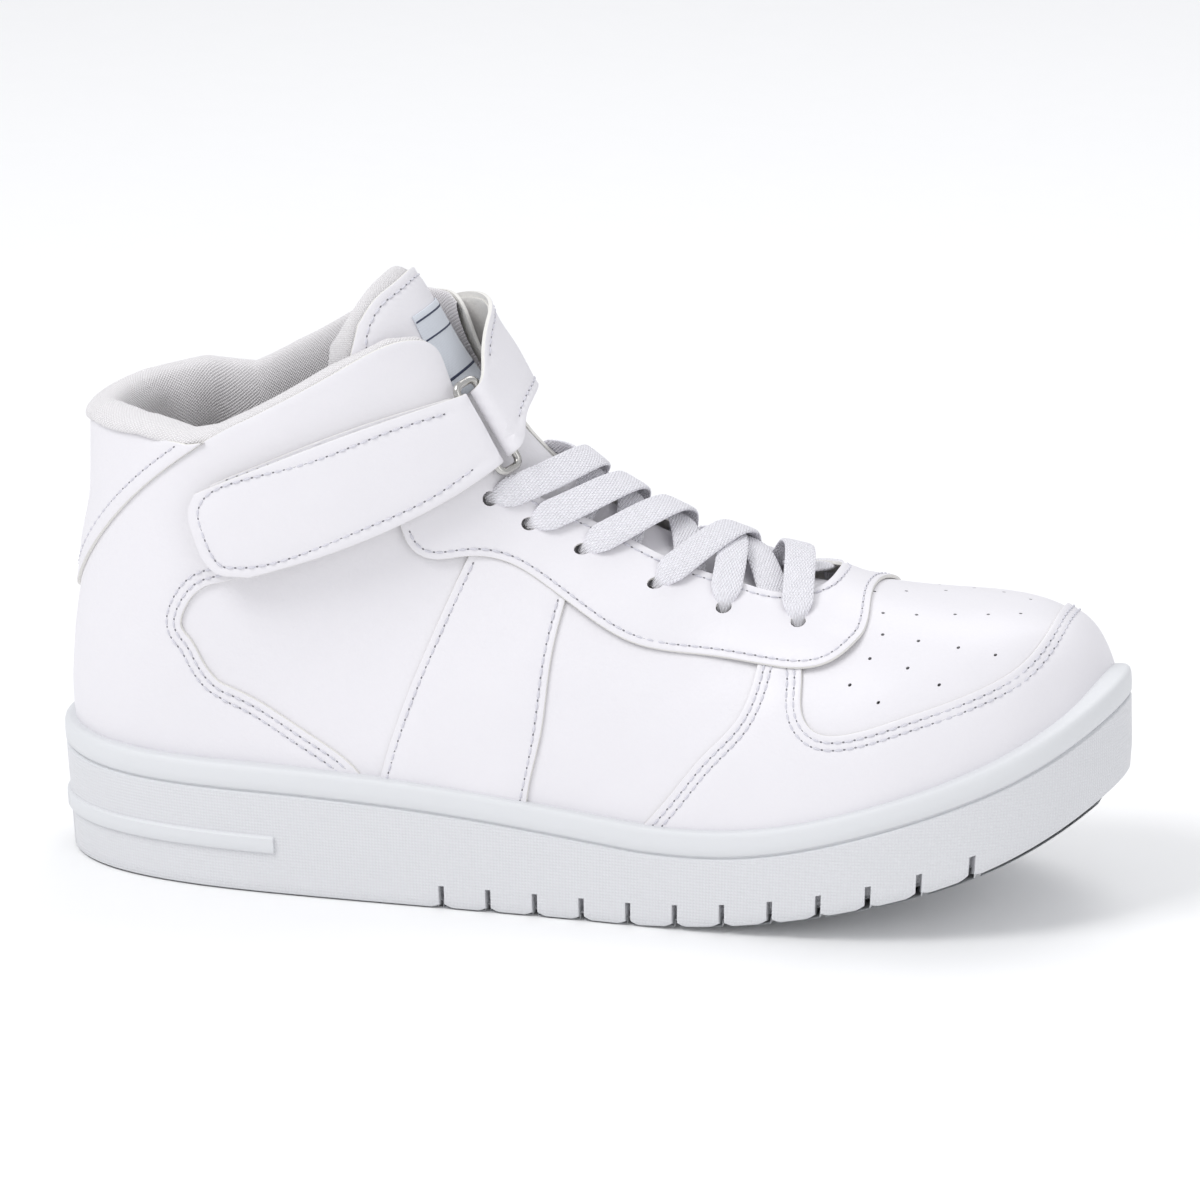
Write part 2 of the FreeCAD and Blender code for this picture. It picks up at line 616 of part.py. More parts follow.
OUTER_PLAN = [(-150, 0), (-147.5, -15.5), (-136, -30.5), (-112, -41.5), (-75, -46), (-35, -47.2),
              (10, -48.5), (55, -51), (95, -48), (125, -35.5), (143, -17), (150, 6)]
INNER_PLAN = [(143.5, 26.5), (125, 44), (95, 52), (55, 48.5), (10, 42), (-35, 39), (-75, 40),
              (-112, 38.5), (-136, 29), (-147.5, 15)]
TOE_SPRING = Curve([-150, -60, -20, 10, 25, 40, 60, 90, 120, 140, 150],
                   [-8, -4, -2, -0.7, 0, 1.0, 3.6, 10, 19.5, 30, 37])
WALL = Curve([-150, -135, -80, -20, 60, 110, 150], [38, 37, 36.5, 33.5, 27, 29.5, 29])


def spring(x):
    """Height of the tread above the ground, nil behind the ball of the foot."""
    return max(TOE_SPRING(x), 0.0)


def plan_wire(height, grow_x=1.0, grow_y=1.0):
    curve = Part.BSplineCurve()
    points = [Vector(x * grow_x, y * grow_y, height) * SCALE for x, y in OUTER_PLAN + INNER_PLAN]
    curve.interpolate(points, True)
    return Part.Wire([curve.toShape()])


def side_prism(floor, ceiling, reach=160.0):
    """Solid between two height curves, across the whole width."""
    steps = [-reach + i * 2 * reach / 40 for i in range(41)]

    def rail(height):
        curve = Part.BSplineCurve()
        curve.interpolate([Vector(x, -80, height(x)) * SCALE for x in steps])
        return curve.toShape()
    low, high = rail(floor), rail(ceiling)
    ends = [Part.makeLine(low.Vertexes[i].Point, high.Vertexes[i].Point) for i in (0, -1)]
    face = Part.Face(Part.Wire(Part.__sortEdges__([low, ends[0], high, ends[1]])))
    return face.extrude(Vector(0, 160, 0) * SCALE)


def last(inflate, first=1.4, final=10.0):
    """Foot-shaped body bounded by the skin, closed by a flat face at each end."""
    rows, columns = 70, 60
    poles = [[section_point(first + (final - first) * i / rows, -90 + 360.0 * j / columns, inflate)
              for j in range(columns)] for i in range(rows + 1)]
    u_knots, u_mults = clamped_knots(rows + 1)
    surface = Part.BSplineSurface()
    surface.buildFromPolesMultsKnots(poles, u_mults, [1] * (columns + 1), u_knots,
                                     list(range(columns + 1)), False, True, 3, 3)
    side = surface.toShape()
    rims = [edge for edge in side.Edges if edge.isClosed() and not edge.isSeam(side)]
    caps = [Part.Face(Part.Wire([edge])) for edge in rims]
    shell = Part.makeShell([side] + caps)
    shell.sewShape()
    body = Part.makeSolid(shell)
    if body.Volume < 0:
        body.reverse()
    return body


def footbed(x):
    """Height of the midsole filler's top face."""
    blend = 1 / (1 + math.exp(-(x + 10) / 25.0))
    level = size("footbed_heel") * (1 - blend) + size("footbed_ball") * blend
    return level + spring(x)


def sole_block(grow_x=1.0, grow_y=1.0):
    """Outside of the sole unit, with its moulded draft, before it is cut to height."""
    levels = [(-12, 0.977, 0.942), (44, 1.0, 1.0), (75, 0.994, 0.985)]
    return Part.makeLoft([plan_wire(z, x * grow_x, y * grow_y) for z, x, y in levels], True, False)


def plan_edge(x, plan):
    """Y of one side of the sole outline at x."""
    points = sorted(plan)
    return Curve([p[0] for p in points], [p[1] for p in points])(x)


def sole_top(x):
    return spring(x) + WALL(x)


def sole_band(low, high, grow_x, grow_y):
    """Shell outside a scaled copy of the sole, between two heights."""
    return side_prism(low, high).cut(sole_block(grow_x, grow_y))


def flex_slots():
    """Narrow slots across the forefoot, each opening out on both sides of the sole."""
    width, reach, height = size("slot_width"), size("slot_reach"), size("slot_height")
    tools = []
    for i in range(int(size("slot_count"))):
        x = size("slot_first") + i * size("slot_pitch")
        floor = spring(x)
        tools.append(Part.makeBox(width, 160, 2.5, Vector(x - width / 2, -80, floor - 0.5)))
        outer, inner = 0.96 * plan_edge(x, OUTER_PLAN), 0.96 * plan_edge(x, INNER_PLAN)
        for edge in (outer + reach - 20, inner - reach):
            tools.append(Part.makeBox(width, 20, height + 0.5, Vector(x - width / 2, edge, floor - 0.5)))
    return Part.makeCompound(tools)


def build_sole():
    above_ground = Part.makeBox(400, 200, 120, Vector(-200, -100, 0))
    block = sole_block().common(side_prism(TOE_SPRING, sole_top)).common(above_ground)
    block = block.cut(last(0.1))
    drop, groove = size("groove_drop"), size("groove_size")
    block = block.cut(sole_band(lambda x: sole_top(x) - drop - groove, lambda x: sole_top(x) - drop,
                                0.9935, 0.979))
    bar_low, bar_high = size("heel_bar_low"), size("heel_bar_high")
    bar = side_prism(lambda x: bar_low, lambda x: bar_high)
    bar = bar.common(sole_block(1.006, 1.02)).cut(sole_block(0.985, 0.95))
    bar = bar.common(Part.makeBox(100, 200, 60, Vector(size("heel_bar_end") - 100, -100, 0)))
    block = block.fuse(bar).cut(flex_slots())
    add_part("cupsole", block)
    core = last(-3.75, first=2.0, final=9.7)
    board, liner = size("insole_board_ply"), size("sockliner_ply")
    add_part("midsole_filler", core.common(side_prism(lambda x: -5.0, footbed)))
    add_part("insole_board", core.common(side_prism(lambda x: footbed(x) + GAP,
                                                    lambda x: footbed(x) + board)))
    foot_space = last(-4.3, first=2.0, final=9.7)
    add_part("sockliner", foot_space.common(side_prism(lambda x: footbed(x) + board + GAP,
                                                       lambda x: footbed(x) + board + liner)))


# ---------------------------------------------------------------- build, test and write

build_upper()
build_linings()
build_tongue()
build_strap()
build_lace()
build_sole()
doc.recompute()

for item in doc.Objects:
    if "Invalid" in item.State or "Error" in item.State:
        raise RuntimeError("object failed: " + item.Label)
for part in finished:
    if part.Shape.isNull() or not part.Shape.isValid() or not part.Shape.Solids:
        raise RuntimeError("bad shape: " + part.Label)

os.makedirs("parts", exist_ok=True)
for part in finished:
    part.Shape.exportStep(os.path.join("parts", part.Label + ".step"))
hinge_top, hinge_foot, hinge_axis, _ = ring_frame()
print("strap hinge at", tuple(round(c, 2) for c in (hinge_top + hinge_foot) * 0.5),
      "axis", tuple(hinge_axis))
print("tongue hinge at", tuple(round(c, 2) for c in tongue(TONGUE_SPLIT, 0, -9.0)))
print(len(finished), "parts written")
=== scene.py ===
import math

import bpy
import numpy as np
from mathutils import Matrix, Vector, kdtree
from mathutils.bvhtree import BVHTree
from mathutils.geometry import delaunay_2d_cdt


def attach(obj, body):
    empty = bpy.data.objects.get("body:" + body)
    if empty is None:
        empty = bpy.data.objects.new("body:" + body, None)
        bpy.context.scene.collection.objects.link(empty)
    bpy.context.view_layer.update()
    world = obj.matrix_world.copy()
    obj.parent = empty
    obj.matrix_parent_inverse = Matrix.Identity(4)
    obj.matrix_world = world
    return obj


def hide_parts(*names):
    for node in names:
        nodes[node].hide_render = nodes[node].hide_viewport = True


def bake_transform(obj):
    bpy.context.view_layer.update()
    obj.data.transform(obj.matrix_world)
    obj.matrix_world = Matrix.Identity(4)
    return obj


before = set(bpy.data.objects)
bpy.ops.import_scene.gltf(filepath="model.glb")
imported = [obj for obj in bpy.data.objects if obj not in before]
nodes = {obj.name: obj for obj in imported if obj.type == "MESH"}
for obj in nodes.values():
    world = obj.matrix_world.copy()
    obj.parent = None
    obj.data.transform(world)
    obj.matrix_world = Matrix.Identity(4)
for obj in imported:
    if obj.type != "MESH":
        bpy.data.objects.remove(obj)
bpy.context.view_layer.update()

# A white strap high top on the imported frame. Shapes are worked out in millimetres and turned into
# metres when a mesh is made. +X is the toe, -Y the outer side, +Z up.

MM = 0.001


# ---------------------------------------------------------------- curves and the upper's surface

class Curve:
    """Natural cubic spline through given knots, for numbers or arrays."""

    def __init__(self, at, values):
        self.at = np.asarray(at, float)
        self.values = np.asarray(values, float)
        count = len(self.at)
        gaps = np.diff(self.at)
        slopes = np.diff(self.values) / gaps
        matrix, load = np.eye(count), np.zeros(count)
        for i in range(1, count - 1):
            matrix[i, i - 1:i + 2] = gaps[i - 1], 2 * (gaps[i - 1] + gaps[i]), gaps[i]
            load[i] = 6 * (slopes[i] - slopes[i - 1])
        self.bend = np.linalg.solve(matrix, load)

    def __call__(self, where):
        where = np.asarray(where, float)
        i = np.clip(np.searchsorted(self.at, where) - 1, 0, len(self.at) - 2)
        gap = self.at[i + 1] - self.at[i]
        right = (where - self.at[i]) / gap
        left = 1 - right
        return (left * self.values[i] + right * self.values[i + 1]
                + ((left ** 3 - left) * self.bend[i] + (right ** 3 - right) * self.bend[i + 1])
                * gap * gap / 6)


def steps(at, values):
    """Straight runs between knots, held level outside them."""
    return lambda where: np.interp(where, at, values)


def table(columns, rows):
    """One curve for each column, through its value in every row."""
    return {name: Curve(range(len(rows)), [row[i] for row in rows])
            for i, name in enumerate(columns)}


def arc_length(place):
    """Distance along a line of points, measured from its start."""
    return np.concatenate([[0], np.cumsum(np.linalg.norm(np.diff(place, axis=0), axis=1))])


def along_line(distance, arc, line):
    """The points of a line at some distances along it."""
    return np.stack([np.interp(distance, arc, line[:, i]) for i in (0, 1)], 1)


def full_turn(count):
    return np.linspace(0, 2 * np.pi, count, endpoint=False)


def eased(share):
    """Share from 0 to 1 with a soft start and end."""
    return share * share * (3 - 2 * share)


# Sections of the upper from the collar (u 0) to the toe (u 10). Each has a middle line from its
# ridge down to its base, half widths, the level of its widest place, and how round it is.
STATIONS = table(
    ("ridge_x", "ridge_z", "base_x", "base_z", "outer", "inner", "widest", "top_n", "base_n",
     "lean"),
    [
        (-36, 163, -141, 134, 35.0, 35.0, 0.50, 2.2, 2.3, 0),
        (-31, 148, -141, 112, 36.5, 35.5, 0.52, 2.2, 2.3, 0),
        (-19, 130, -144, 78, 39.5, 37.0, 0.55, 2.2, 2.3, 0),
        (0, 113, -139, 18, 39.5, 36.5, 0.66, 2.1, 2.3, 1),
        (22, 101.5, -70, 5, 43.5, 35.5, 0.70, 2.0, 2.6, 2),
        (45, 94, 0, 3, 45.5, 38.5, 0.72, 2.0, 2.6, 3),
        (68, 89, 50, 5, 47.5, 44.5, 0.72, 2.1, 2.6, 3),
        (95, 85.5, 88, 12, 45.5, 48.5, 0.66, 2.4, 2.6, 3),
        (120, 83.5, 116, 22, 35.5, 43.0, 0.60, 2.5, 2.5, 5),
        (137.5, 76, 135.5, 30, 20.5, 30.0, 0.58, 2.3, 2.3, 7),
        (145.5, 60, 145, 40, 5.0, 15.0, 0.50, 2.1, 2.1, 7),
    ])


def section_point(u, theta, inflate=0.0):
    """Skin point. theta 90 is the ridge, 180 the outer side, 270 the base, 0 the inner side."""
    u, theta, inflate = np.broadcast_arrays(*(np.asarray(v, float) for v in (u, theta, inflate)))
    s = {name: curve(u) for name, curve in STATIONS.items()}
    cosine, sine = np.cos(np.radians(theta)), np.sin(np.radians(theta))
    upper = sine >= 0
    power = 2 / np.where(upper, s["top_n"], s["base_n"])
    half_width = np.where(cosine < 0, s["outer"], s["inner"]) + inflate
    across = np.sign(cosine) * half_width * np.abs(cosine) ** power
    rise = np.abs(sine) ** power
    chord = np.hypot(s["base_x"] - s["ridge_x"], s["base_z"] - s["ridge_z"])
    spare = inflate / chord
    down_above = s["widest"] - (s["widest"] + spare) * rise
    down_below = s["widest"] + (1 - s["widest"] + spare) * rise
    lean = s["lean"] * (1 - np.maximum(down_above, 0) / s["widest"])
    across = across + np.where(upper, lean, 0)
    down = np.where(upper, down_above, down_below)
    x = s["ridge_x"] + (s["base_x"] - s["ridge_x"]) * down
    z = s["ridge_z"] + (s["base_z"] - s["ridge_z"]) * down
    return np.stack([x, across, z], -1)


def unit(v):
    return v / np.maximum(np.linalg.norm(v, axis=-1, keepdims=True), 1e-12)


def slopes(surface, a, b):
    """Change of a surface point per unit of each of its own coordinates."""
    da, db = 0.02, 0.5
    return ((surface(a + da, b) - surface(a - da, b)) / (2 * da),
            (surface(a, b + db) - surface(a, b - db)) / (2 * db))


def outward(surface, a, b):
    along, around = slopes(surface, np.asarray(a, float), np.asarray(b, float))
    return unit(np.cross(around, along))


def shell(surface):
    """Adds depth along the normal to a surface of two coordinates."""
    def point(a, b, depth=0.0):
        depth = np.asarray(depth, float)
        return surface(a, b) + outward(surface, a, b) * depth[..., None]
    return point


def raised(surface, relief):
    """The same surface, moved along its normal by a relief of its coordinates."""
    return shell(lambda a, b: surface(a, b, relief(a, b)))


skin = shell(section_point)
SKIN_SCALE = np.array((25.0, 0.75))   # about how many millimetres one u and one degree are


def mirror(points):
    """The same outline on the inner side of the foot."""
    return [(u, 180 - theta) for u, theta in points]


# ---------------------------------------------------------------- outlines and sheets

def smooth_path(points, surface, spacing):
    """Evenly spaced (a, b) points along a spline through the given ones, ends kept."""
    points = np.array(points, float)
    if len(points) > 2:
        knots = arc_length(points * SKIN_SCALE)
        fine = np.linspace(0, knots[-1], 30 * len(points))
        line = np.stack([Curve(knots, points[:, i])(fine) for i in (0, 1)], 1)
    else:
        line = points[0] + (points[1] - points[0]) * np.linspace(0, 1, 60)[:, None]
    arc = arc_length(surface(*line.T))
    even = np.linspace(0, arc[-1], max(2, int(round(arc[-1] / spacing)) + 1))
    return along_line(even, arc, line)


def closed_outline(sides, surface, spacing):
    """One loop from splines laid end to end. A side that starts elsewhere is joined to the last."""
    joined = []
    for i, side in enumerate(sides):
        side = list(side)
        previous = sides[i - 1][-1]
        if tuple(side[0]) != tuple(previous) or len(side) == 1:
            side.insert(0, previous)
        joined.append(smooth_path(side, surface, spacing)[:-1])
    return np.concatenate(joined)


def turn_of(loop):
    """Positive when a loop runs anticlockwise seen from outside."""
    a, b = loop.T
    return np.sign(np.sum(b * np.roll(a, -1) - np.roll(b, -1) * a))


def moved(path, surface, distance, closed=False):
    """Path shifted in its own surface, towards its left seen from outside."""
    a, b = path.T
    along, around = slopes(surface, a, b)
    place = surface(a, b)
    if closed:
        tangent = np.roll(place, -1, 0) - np.roll(place, 1, 0)
    else:
        tangent = np.gradient(place, axis=0)
    left = unit(np.cross(np.cross(around, along), tangent)) * distance
    aa, bb, ab = (np.sum(p * q, -1) for p, q in ((along, along), (around, around), (along, around)))
    la, lb = np.sum(along * left, -1), np.sum(around * left, -1)
    scale = aa * bb - ab * ab
    return np.stack([a + (la * bb - lb * ab) / scale, b + (lb * aa - la * ab) / scale], 1)


def inside(points, loop):
    """Even-odd test of many points against one loop."""
    x, y = points.T[:, :, None]
    x0, y0 = loop.T[:, None]
    x1, y1 = np.roll(x0, -1, 1), np.roll(y0, -1, 1)
    rising = (y0 > y) != (y1 > y)
    with np.errstate(divide="ignore", invalid="ignore"):
        crossing = x < (x1 - x0) * (y - y0) / (y1 - y0) + x0
    return (np.sum(rising & crossing, axis=1) % 2).astype(bool)


def make(name, verts, faces, finishes, body="shoe", slot="leather", stands_for=(), which=None,
         uv=None, sharp=40, blend=None, marks=None):
    """A mesh object from millimetre points, riding its body."""
    mesh = bpy.data.meshes.new(name)
    mesh.from_pydata((np.asarray(verts) * MM).tolist(), [], faces)
    if which is not None:
        mesh.polygons.foreach_set("material_index", np.asarray(which, np.int32))
    if uv is not None:
        layer = mesh.uv_layers.new(name="cloth")
        corners = np.zeros(len(mesh.loops), np.int32)
        mesh.loops.foreach_get("vertex_index", corners)
        layer.data.foreach_set("uv", (np.asarray(uv)[corners] * MM).astype(np.float32).ravel())
    if marks is not None:
        attribute = mesh.attributes.new("zone", "FLOAT", "POINT")
        attribute.data.foreach_set("value", np.asarray(marks, np.float32))
    mesh.polygons.foreach_set("use_smooth", np.ones(len(mesh.polygons), bool))
    mesh.validate()
    mesh.update()
    mesh.set_sharp_from_angle(angle=math.radians(sharp))
    for material in finishes:
        mesh.materials.append(material)
    piece = bpy.data.objects.new(name, mesh)
    bpy.context.scene.collection.objects.link(piece)
    if blend:
        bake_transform(piece)
    else:
        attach(piece, body)
    if stands_for:
        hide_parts(*stands_for)
    return piece


def ripple(place):
    """Slow unevenness of soft leather, in millimetres."""
    x, y, z = place[..., 0], place[..., 1], place[..., 2]
    return (0.10 * np.sin(x / 7.1 + 1.7 * np.sin(z / 11.0)) * np.sin(z / 9.3 + y / 8.0)
            + 0.05 * np.sin(x / 3.3 - z / 4.1) * np.sin(y / 5.0 + z / 6.7 + 2.0))


def nearest(points):
    """Search tree of points, flat or in space."""
    tree = kdtree.KDTree(len(points))
    for i, p in enumerate(points):
        tree.insert((*p, 0)[:3], i)
    tree.balance()
    return tree


def apart(points, others, scale, distance):
    """The points that are further than a distance from all the others."""
    tree = nearest(others * scale)
    return points[[tree.find((*p, 0))[2] > distance for p in points * scale]]


# a panel's sewn rows: depth and width of their furrow, and the points laid beside them
SEAM_DEPTH, SEAM_WIDTH, ROW_WIDTH = 0.24, 0.75, 0.7
# its rim: share of the rounding at the first step, and what is left square at the back
NEAR_RIM, BACK_RIM = 0.28, 0.1
# its filling, in shares of the spacing: along the outline, between lines, and clear of others
EDGE_STEP, LINE_STEP, CLEARANCE = 0.7, 0.87, 0.55
EDGE_CLEARANCE = 0.35   # millimetres that a row's points keep from the edge
HOLE_SIDES = 14


def panel(name, surface, sides, top, thick, finishes, holes=(), rows=(), spacing=2.0, rim=0.5,
          relief=None, scale=SKIN_SCALE, sewn_as=None, stands_for=(), **binding):
    """Leather or cloth sheet cut to an outline, with a rounded rim, round holes and sewn rows.

    top and thick are depths along the surface's normal. The first finish is the face, the second
    the back and the rim, and the last one the walls of the holes. sewn_as names the piece that
    holds the stitches of its rows.
    """
    outer = closed_outline(sides, surface, spacing * EDGE_STEP)
    inward = turn_of(outer)
    shelf = moved(outer, surface, rim * inward, True)
    near_rim = moved(outer, surface, NEAR_RIM * rim * inward, True)
    sewn = [moved(path, surface, d) for path in rows for d in (-ROW_WIDTH, 0.0, ROW_WIDTH)]
    circles = []
    turn = full_turn(HOLE_SIDES)
    for a, b, radius in holes:
        along, around = slopes(surface, np.array(a), np.array(b))
        circles.append(np.stack([a + radius * np.cos(turn) / np.linalg.norm(along),
                                 b + radius * np.sin(turn) / np.linalg.norm(around)], 1))

    # staggered points fill the sheet, clear of its edge, its holes and its sewn rows
    low, high = shelf.min(0), shelf.max(0)
    step = spacing / scale
    lines = []
    for i, a in enumerate(np.arange(low[0], high[0], step[0] * LINE_STEP)):
        b = np.arange(low[1] + (i % 2) * step[1] / 2, high[1], step[1])
        lines.append(np.stack([np.full_like(b, a), b], 1))
    grid = np.concatenate(lines)
    grid = grid[inside(grid * scale, shelf * scale)]
    grid = apart(grid, np.concatenate([shelf] + circles + sewn), scale, CLEARANCE * spacing)
    if sewn:
        sewn = np.concatenate(sewn)
        sewn = sewn[inside(sewn * scale, shelf * scale)]
        grid = np.concatenate([grid, apart(sewn, shelf, scale, EDGE_CLEARANCE)])
    flat = np.concatenate([shelf] + circles + [grid])
    edges, start = [], 0
    for ring in [shelf] + circles:
        count = len(ring)
        edges += [(start + i, start + (i + 1) % count) for i in range(count)]
        start += count
    found = delaunay_2d_cdt([Vector(p) for p in (flat * scale).tolist()], edges, [], 0, 1e-6, True)
    points = np.array([tuple(p) for p in found[0]]) / scale
    tris = np.array(found[2])
    centre = points[tris].mean(1)
    keep = inside(centre * scale, shelf * scale)
    for ring in circles:
        keep &= ~inside(centre * scale, ring * scale)
    tris, centre = tris[keep], centre[keep]
    where = {original: out for out, originals in enumerate(found[3]) for original in originals}
    if rows:
        seam = nearest(np.concatenate([surface(*path.T) for path in rows]))

    def lifted(at, depth):
        a, b = at.T
        place = surface(a, b)
        extra = ripple(place)
        if rows:
            gap = np.array([seam.find(p)[2] for p in place])
            extra = extra - SEAM_DEPTH * np.exp(-(gap / SEAM_WIDTH) ** 2)
        if relief is not None:
            extra = extra + relief(a, b)
        return place + outward(surface, a, b) * (depth + extra)[:, None]

    above = lifted(points, top)
    verts = np.concatenate([above, lifted(points, top - thick),
                            lifted(near_rim, top - NEAR_RIM * rim), lifted(outer, top - rim),
                            lifted(outer, top - thick + BACK_RIM)])
    flat_all = np.concatenate([points, points, near_rim, outer, outer])
    count, rim_count = len(points), len(outer)
    faces, which = [], []
    a, b, c = tris.T
    up = np.cross(above[b] - above[a], above[c] - above[a])
    flip = np.sum(up * outward(surface, *centre.T), -1) < 0
    for (i, j, k), turned in zip(tris.tolist(), flip.tolist()):
        if turned:
            j, k = k, j
        faces += [(i, j, k), (count + i, count + k, count + j)]
        which += [0, 1]

    # the rim, from the sheet's face down to its back, and then the walls of the holes
    shelf_ids = [where[i] for i in range(rim_count)]
    ladders = [shelf_ids]
    ladders += [[2 * count + n * rim_count + i for i in range(rim_count)] for n in range(3)]
    ladders.append([count + i for i in shelf_ids])
    walls = [(upper, lower, inward, min(level, 1))
             for level, (upper, lower) in enumerate(zip(ladders, ladders[1:]))]
    start = rim_count
    for ring in circles:
        ids = [where[start + i] for i in range(len(ring))]
        start += len(ring)
        walls.append((ids, [count + i for i in ids], -turn_of(ring), len(finishes) - 1))
    for upper, lower, spin, slot_number in walls:
        for i, j in zip(range(len(upper)), list(range(1, len(upper))) + [0]):
            quad = (upper[i], lower[i], lower[j], upper[j])
            faces.append(quad if spin > 0 else quad[::-1])
            which.append(slot_number)
    make(name, verts, faces, finishes, which=which, uv=flat_all * scale, stands_for=stands_for,
         **binding)
    if sewn_as:
        face = surface if relief is None else raised(surface, relief)
        stitches(sewn_as, [(path, face, top) for path in rows], **binding)


def tube_faces(rows, columns, close=False):
    """Quads of a grid of points, row by row; close joins the last column to the first."""
    pairs = [(j, (j + 1) % columns) for j in range(columns if close else columns - 1)]
    return [(base + j, base + k, base + columns + k, base + columns + j)
            for base in range(0, (rows - 1) * columns, columns) for j, k in pairs]


def pad_faces(rows, columns):
    """Faces of a closed pad: a front grid, a rear grid after it, and the wall between them."""
    count = rows * columns
    grid = tube_faces(rows, columns)
    border = ([(i, 0) for i in range(rows)] + [(rows - 1, j) for j in range(1, columns)]
              + [(i, columns - 1) for i in range(rows - 2, -1, -1)]
              + [(0, j) for j in range(columns - 2, 0, -1)])
    ring = [i * columns + j for i, j in border]
    return (grid + [tuple(count + v for v in f)[::-1] for f in grid]
            + [(b, a, count + a, count + b) for a, b in zip(ring, ring[1:] + ring[:1])])


# ---------------------------------------------------------------- finishes

class Nodes:
    """The nodes of one material. An input is a number, a colour or another node's output."""

    def __init__(self, name):
        self.material = bpy.data.materials.new(name)
        self.material.use_nodes = True
        self.shader = self.material.node_tree.nodes["Principled BSDF"]

    def feed(self, node, inputs):
        for key, value in inputs.items():
            if isinstance(value, bpy.types.NodeSocket):
                self.material.node_tree.links.new(value, node.inputs[key])
            else:
                node.inputs[key].default_value = value

    def add(self, kind, output, inputs, **settings):
        node = self.material.node_tree.nodes.new("ShaderNode" + kind)
        for key, value in settings.items():
            setattr(node, key, value)
        self.feed(node, inputs)
        return node.outputs[output]

    def mix(self, share, first, second):
        """Mix of two colours. Inputs 6 and 7 and output 2 are the node's colour sockets."""
        return self.add("Mix", 2, {0: share, 6: first, 7: second}, data_type="RGBA")

    def sum(self, operation, *values):
        return self.add("Math", 0, dict(enumerate(values)), operation=operation)


ROUGH_SPREAD = 0.06
# painted shade between a weave's threads: how far its colour darkens at the bottom, for red, green
# and blue
WEAVE_VALLEY_SHADE = {"knit": (0.80, 0.78, 0.784), "braid": (0.86, 0.8385, 0.8428),
               "canvas": (0.955, 0.931125, 0.94545)}


def finish(name, color, rough, variation=0.03, metallic=0.0, sheen=0.0, coat=0.0, layers=(),
           patch_scale=60.0):
    """Node material: uneven colour, uneven roughness, and a stack of bumps.

    layers: (kind, scale per metre, height in metres, strength). The kinds are noise, cells, and
    the weaves knit, braid and canvas, which also paint shade between their threads by darkening
    the colour there.
    """
    tree = Nodes(name)
    here = tree.add("TexCoord", "Object", {})
    patch = tree.add("TexNoise", "Fac", {"Scale": patch_scale, "Detail": 4.0, "Vector": here})
    dark = [c * (1 - 2 * variation) for c in color]
    surface_color = tree.mix(patch, (*dark, 1), (*color, 1))
    roughness = tree.add("MapRange", "Result", {
        "To Min": rough - ROUGH_SPREAD, "To Max": rough + ROUGH_SPREAD, "Value": patch})
    bump = {}
    for kind, scale, height, strength in layers:
        if kind == "noise":
            level = tree.add("TexNoise", "Fac", {"Detail": 3.0, "Scale": scale, "Vector": here})
        elif kind == "cells":
            level = tree.add("TexVoronoi", "Distance", {"Scale": scale, "Vector": here})
        else:
            level = woven_height(tree, kind, scale)
            # painted shade: the colour darkens towards the bottom of the weave, between its threads
            valley_shade = [c * deep for c, deep in zip(color, WEAVE_VALLEY_SHADE[kind])]
            unshaded_share = tree.add("MapRange", "Result", {"From Min": 0.0, "From Max": 0.45,
                                                         "Value": level})
            surface_color = tree.mix(unshaded_share, (*valley_shade, 1), surface_color)
        bump.update({"Strength": strength, "Distance": height, "Height": level})
        bump = {"Normal": tree.add("Bump", "Normal", bump)}
    tree.feed(tree.shader, {
        "Metallic": metallic, "Sheen Weight": sheen, "Sheen Roughness": 0.5, "Coat Weight": coat,
        "Coat Roughness": 0.25, "Roughness": roughness, "Base Color": surface_color, **bump})
    return tree.material


def woven_height(tree, kind, scale):
    """Height of a weave in the cloth's own coordinates, from 0 to 1."""
    cloth = tree.add("UVMap", "UV", {}, uv_map="cloth")
    x, y = (tree.sum("MULTIPLY", tree.add("SeparateXYZ", axis, {0: cloth}), scale * math.pi)
            for axis in "XY")
    if kind == "braid":
        y = tree.sum("MULTIPLY", y, 2.1)
    if kind != "canvas":
        x, y = tree.sum("ADD", x, y), tree.sum("SUBTRACT", x, y)
    level = tree.sum("MULTIPLY", *(tree.sum("ABSOLUTE", tree.sum("SINE", v)) for v in (x, y)))
    if kind == "canvas":
        zone = tree.add("Attribute", "Fac", {}, attribute_name="zone")
        level = tree.sum("ADD", tree.sum("MULTIPLY", level, zone),
                         tree.sum("SUBTRACT", 1.0, zone))
    return level


WHITE = (0.77, 0.755, 0.785)
leather = finish("white_leather", WHITE, 0.46, 0.012, coat=0.04, layers=(
    ("noise", 420, 0.00008, 0.5), ("cells", 1050, 0.00007, 0.45), ("noise", 70, 0.0005, 0.25)))
soft_leather = finish("soft_leather", WHITE, 0.48, 0.014, coat=0.04, layers=(
    ("noise", 380, 0.00010, 0.6), ("cells", 950, 0.00009, 0.5), ("noise", 90, 0.0006, 0.35)))
raw_edge = finish("raw_edge", (0.80, 0.788, 0.755), 0.8, 0.06, patch_scale=900, layers=(
    ("noise", 1500, 0.00020, 0.8),))
# partly painted shade: the white thread is coloured greyer than the leather for the shadow along
# the stitches
shaded_thread = finish("shaded_thread", (0.66, 0.655, 0.71), 0.7, 0.04, layers=(("noise", 2500, 0.0001, 0.6),))
# painted shade: the vent holes' walls are grey, not the cut edge's cream, for the shade inside them
vent_wall_shade = finish("vent_wall_shade", (0.48, 0.475, 0.49), 0.8, 0.06, layers=(
    ("noise", 1500, 0.0001, 0.8),))
# painted shade: flat dark discs stand for the shadow inside the needle holes
needle_hole_shade = finish("needle_hole_shade", (0.20, 0.195, 0.22), 0.9, 0.1, layers=(
    ("noise", 2500, 0.0001, 0.5),))
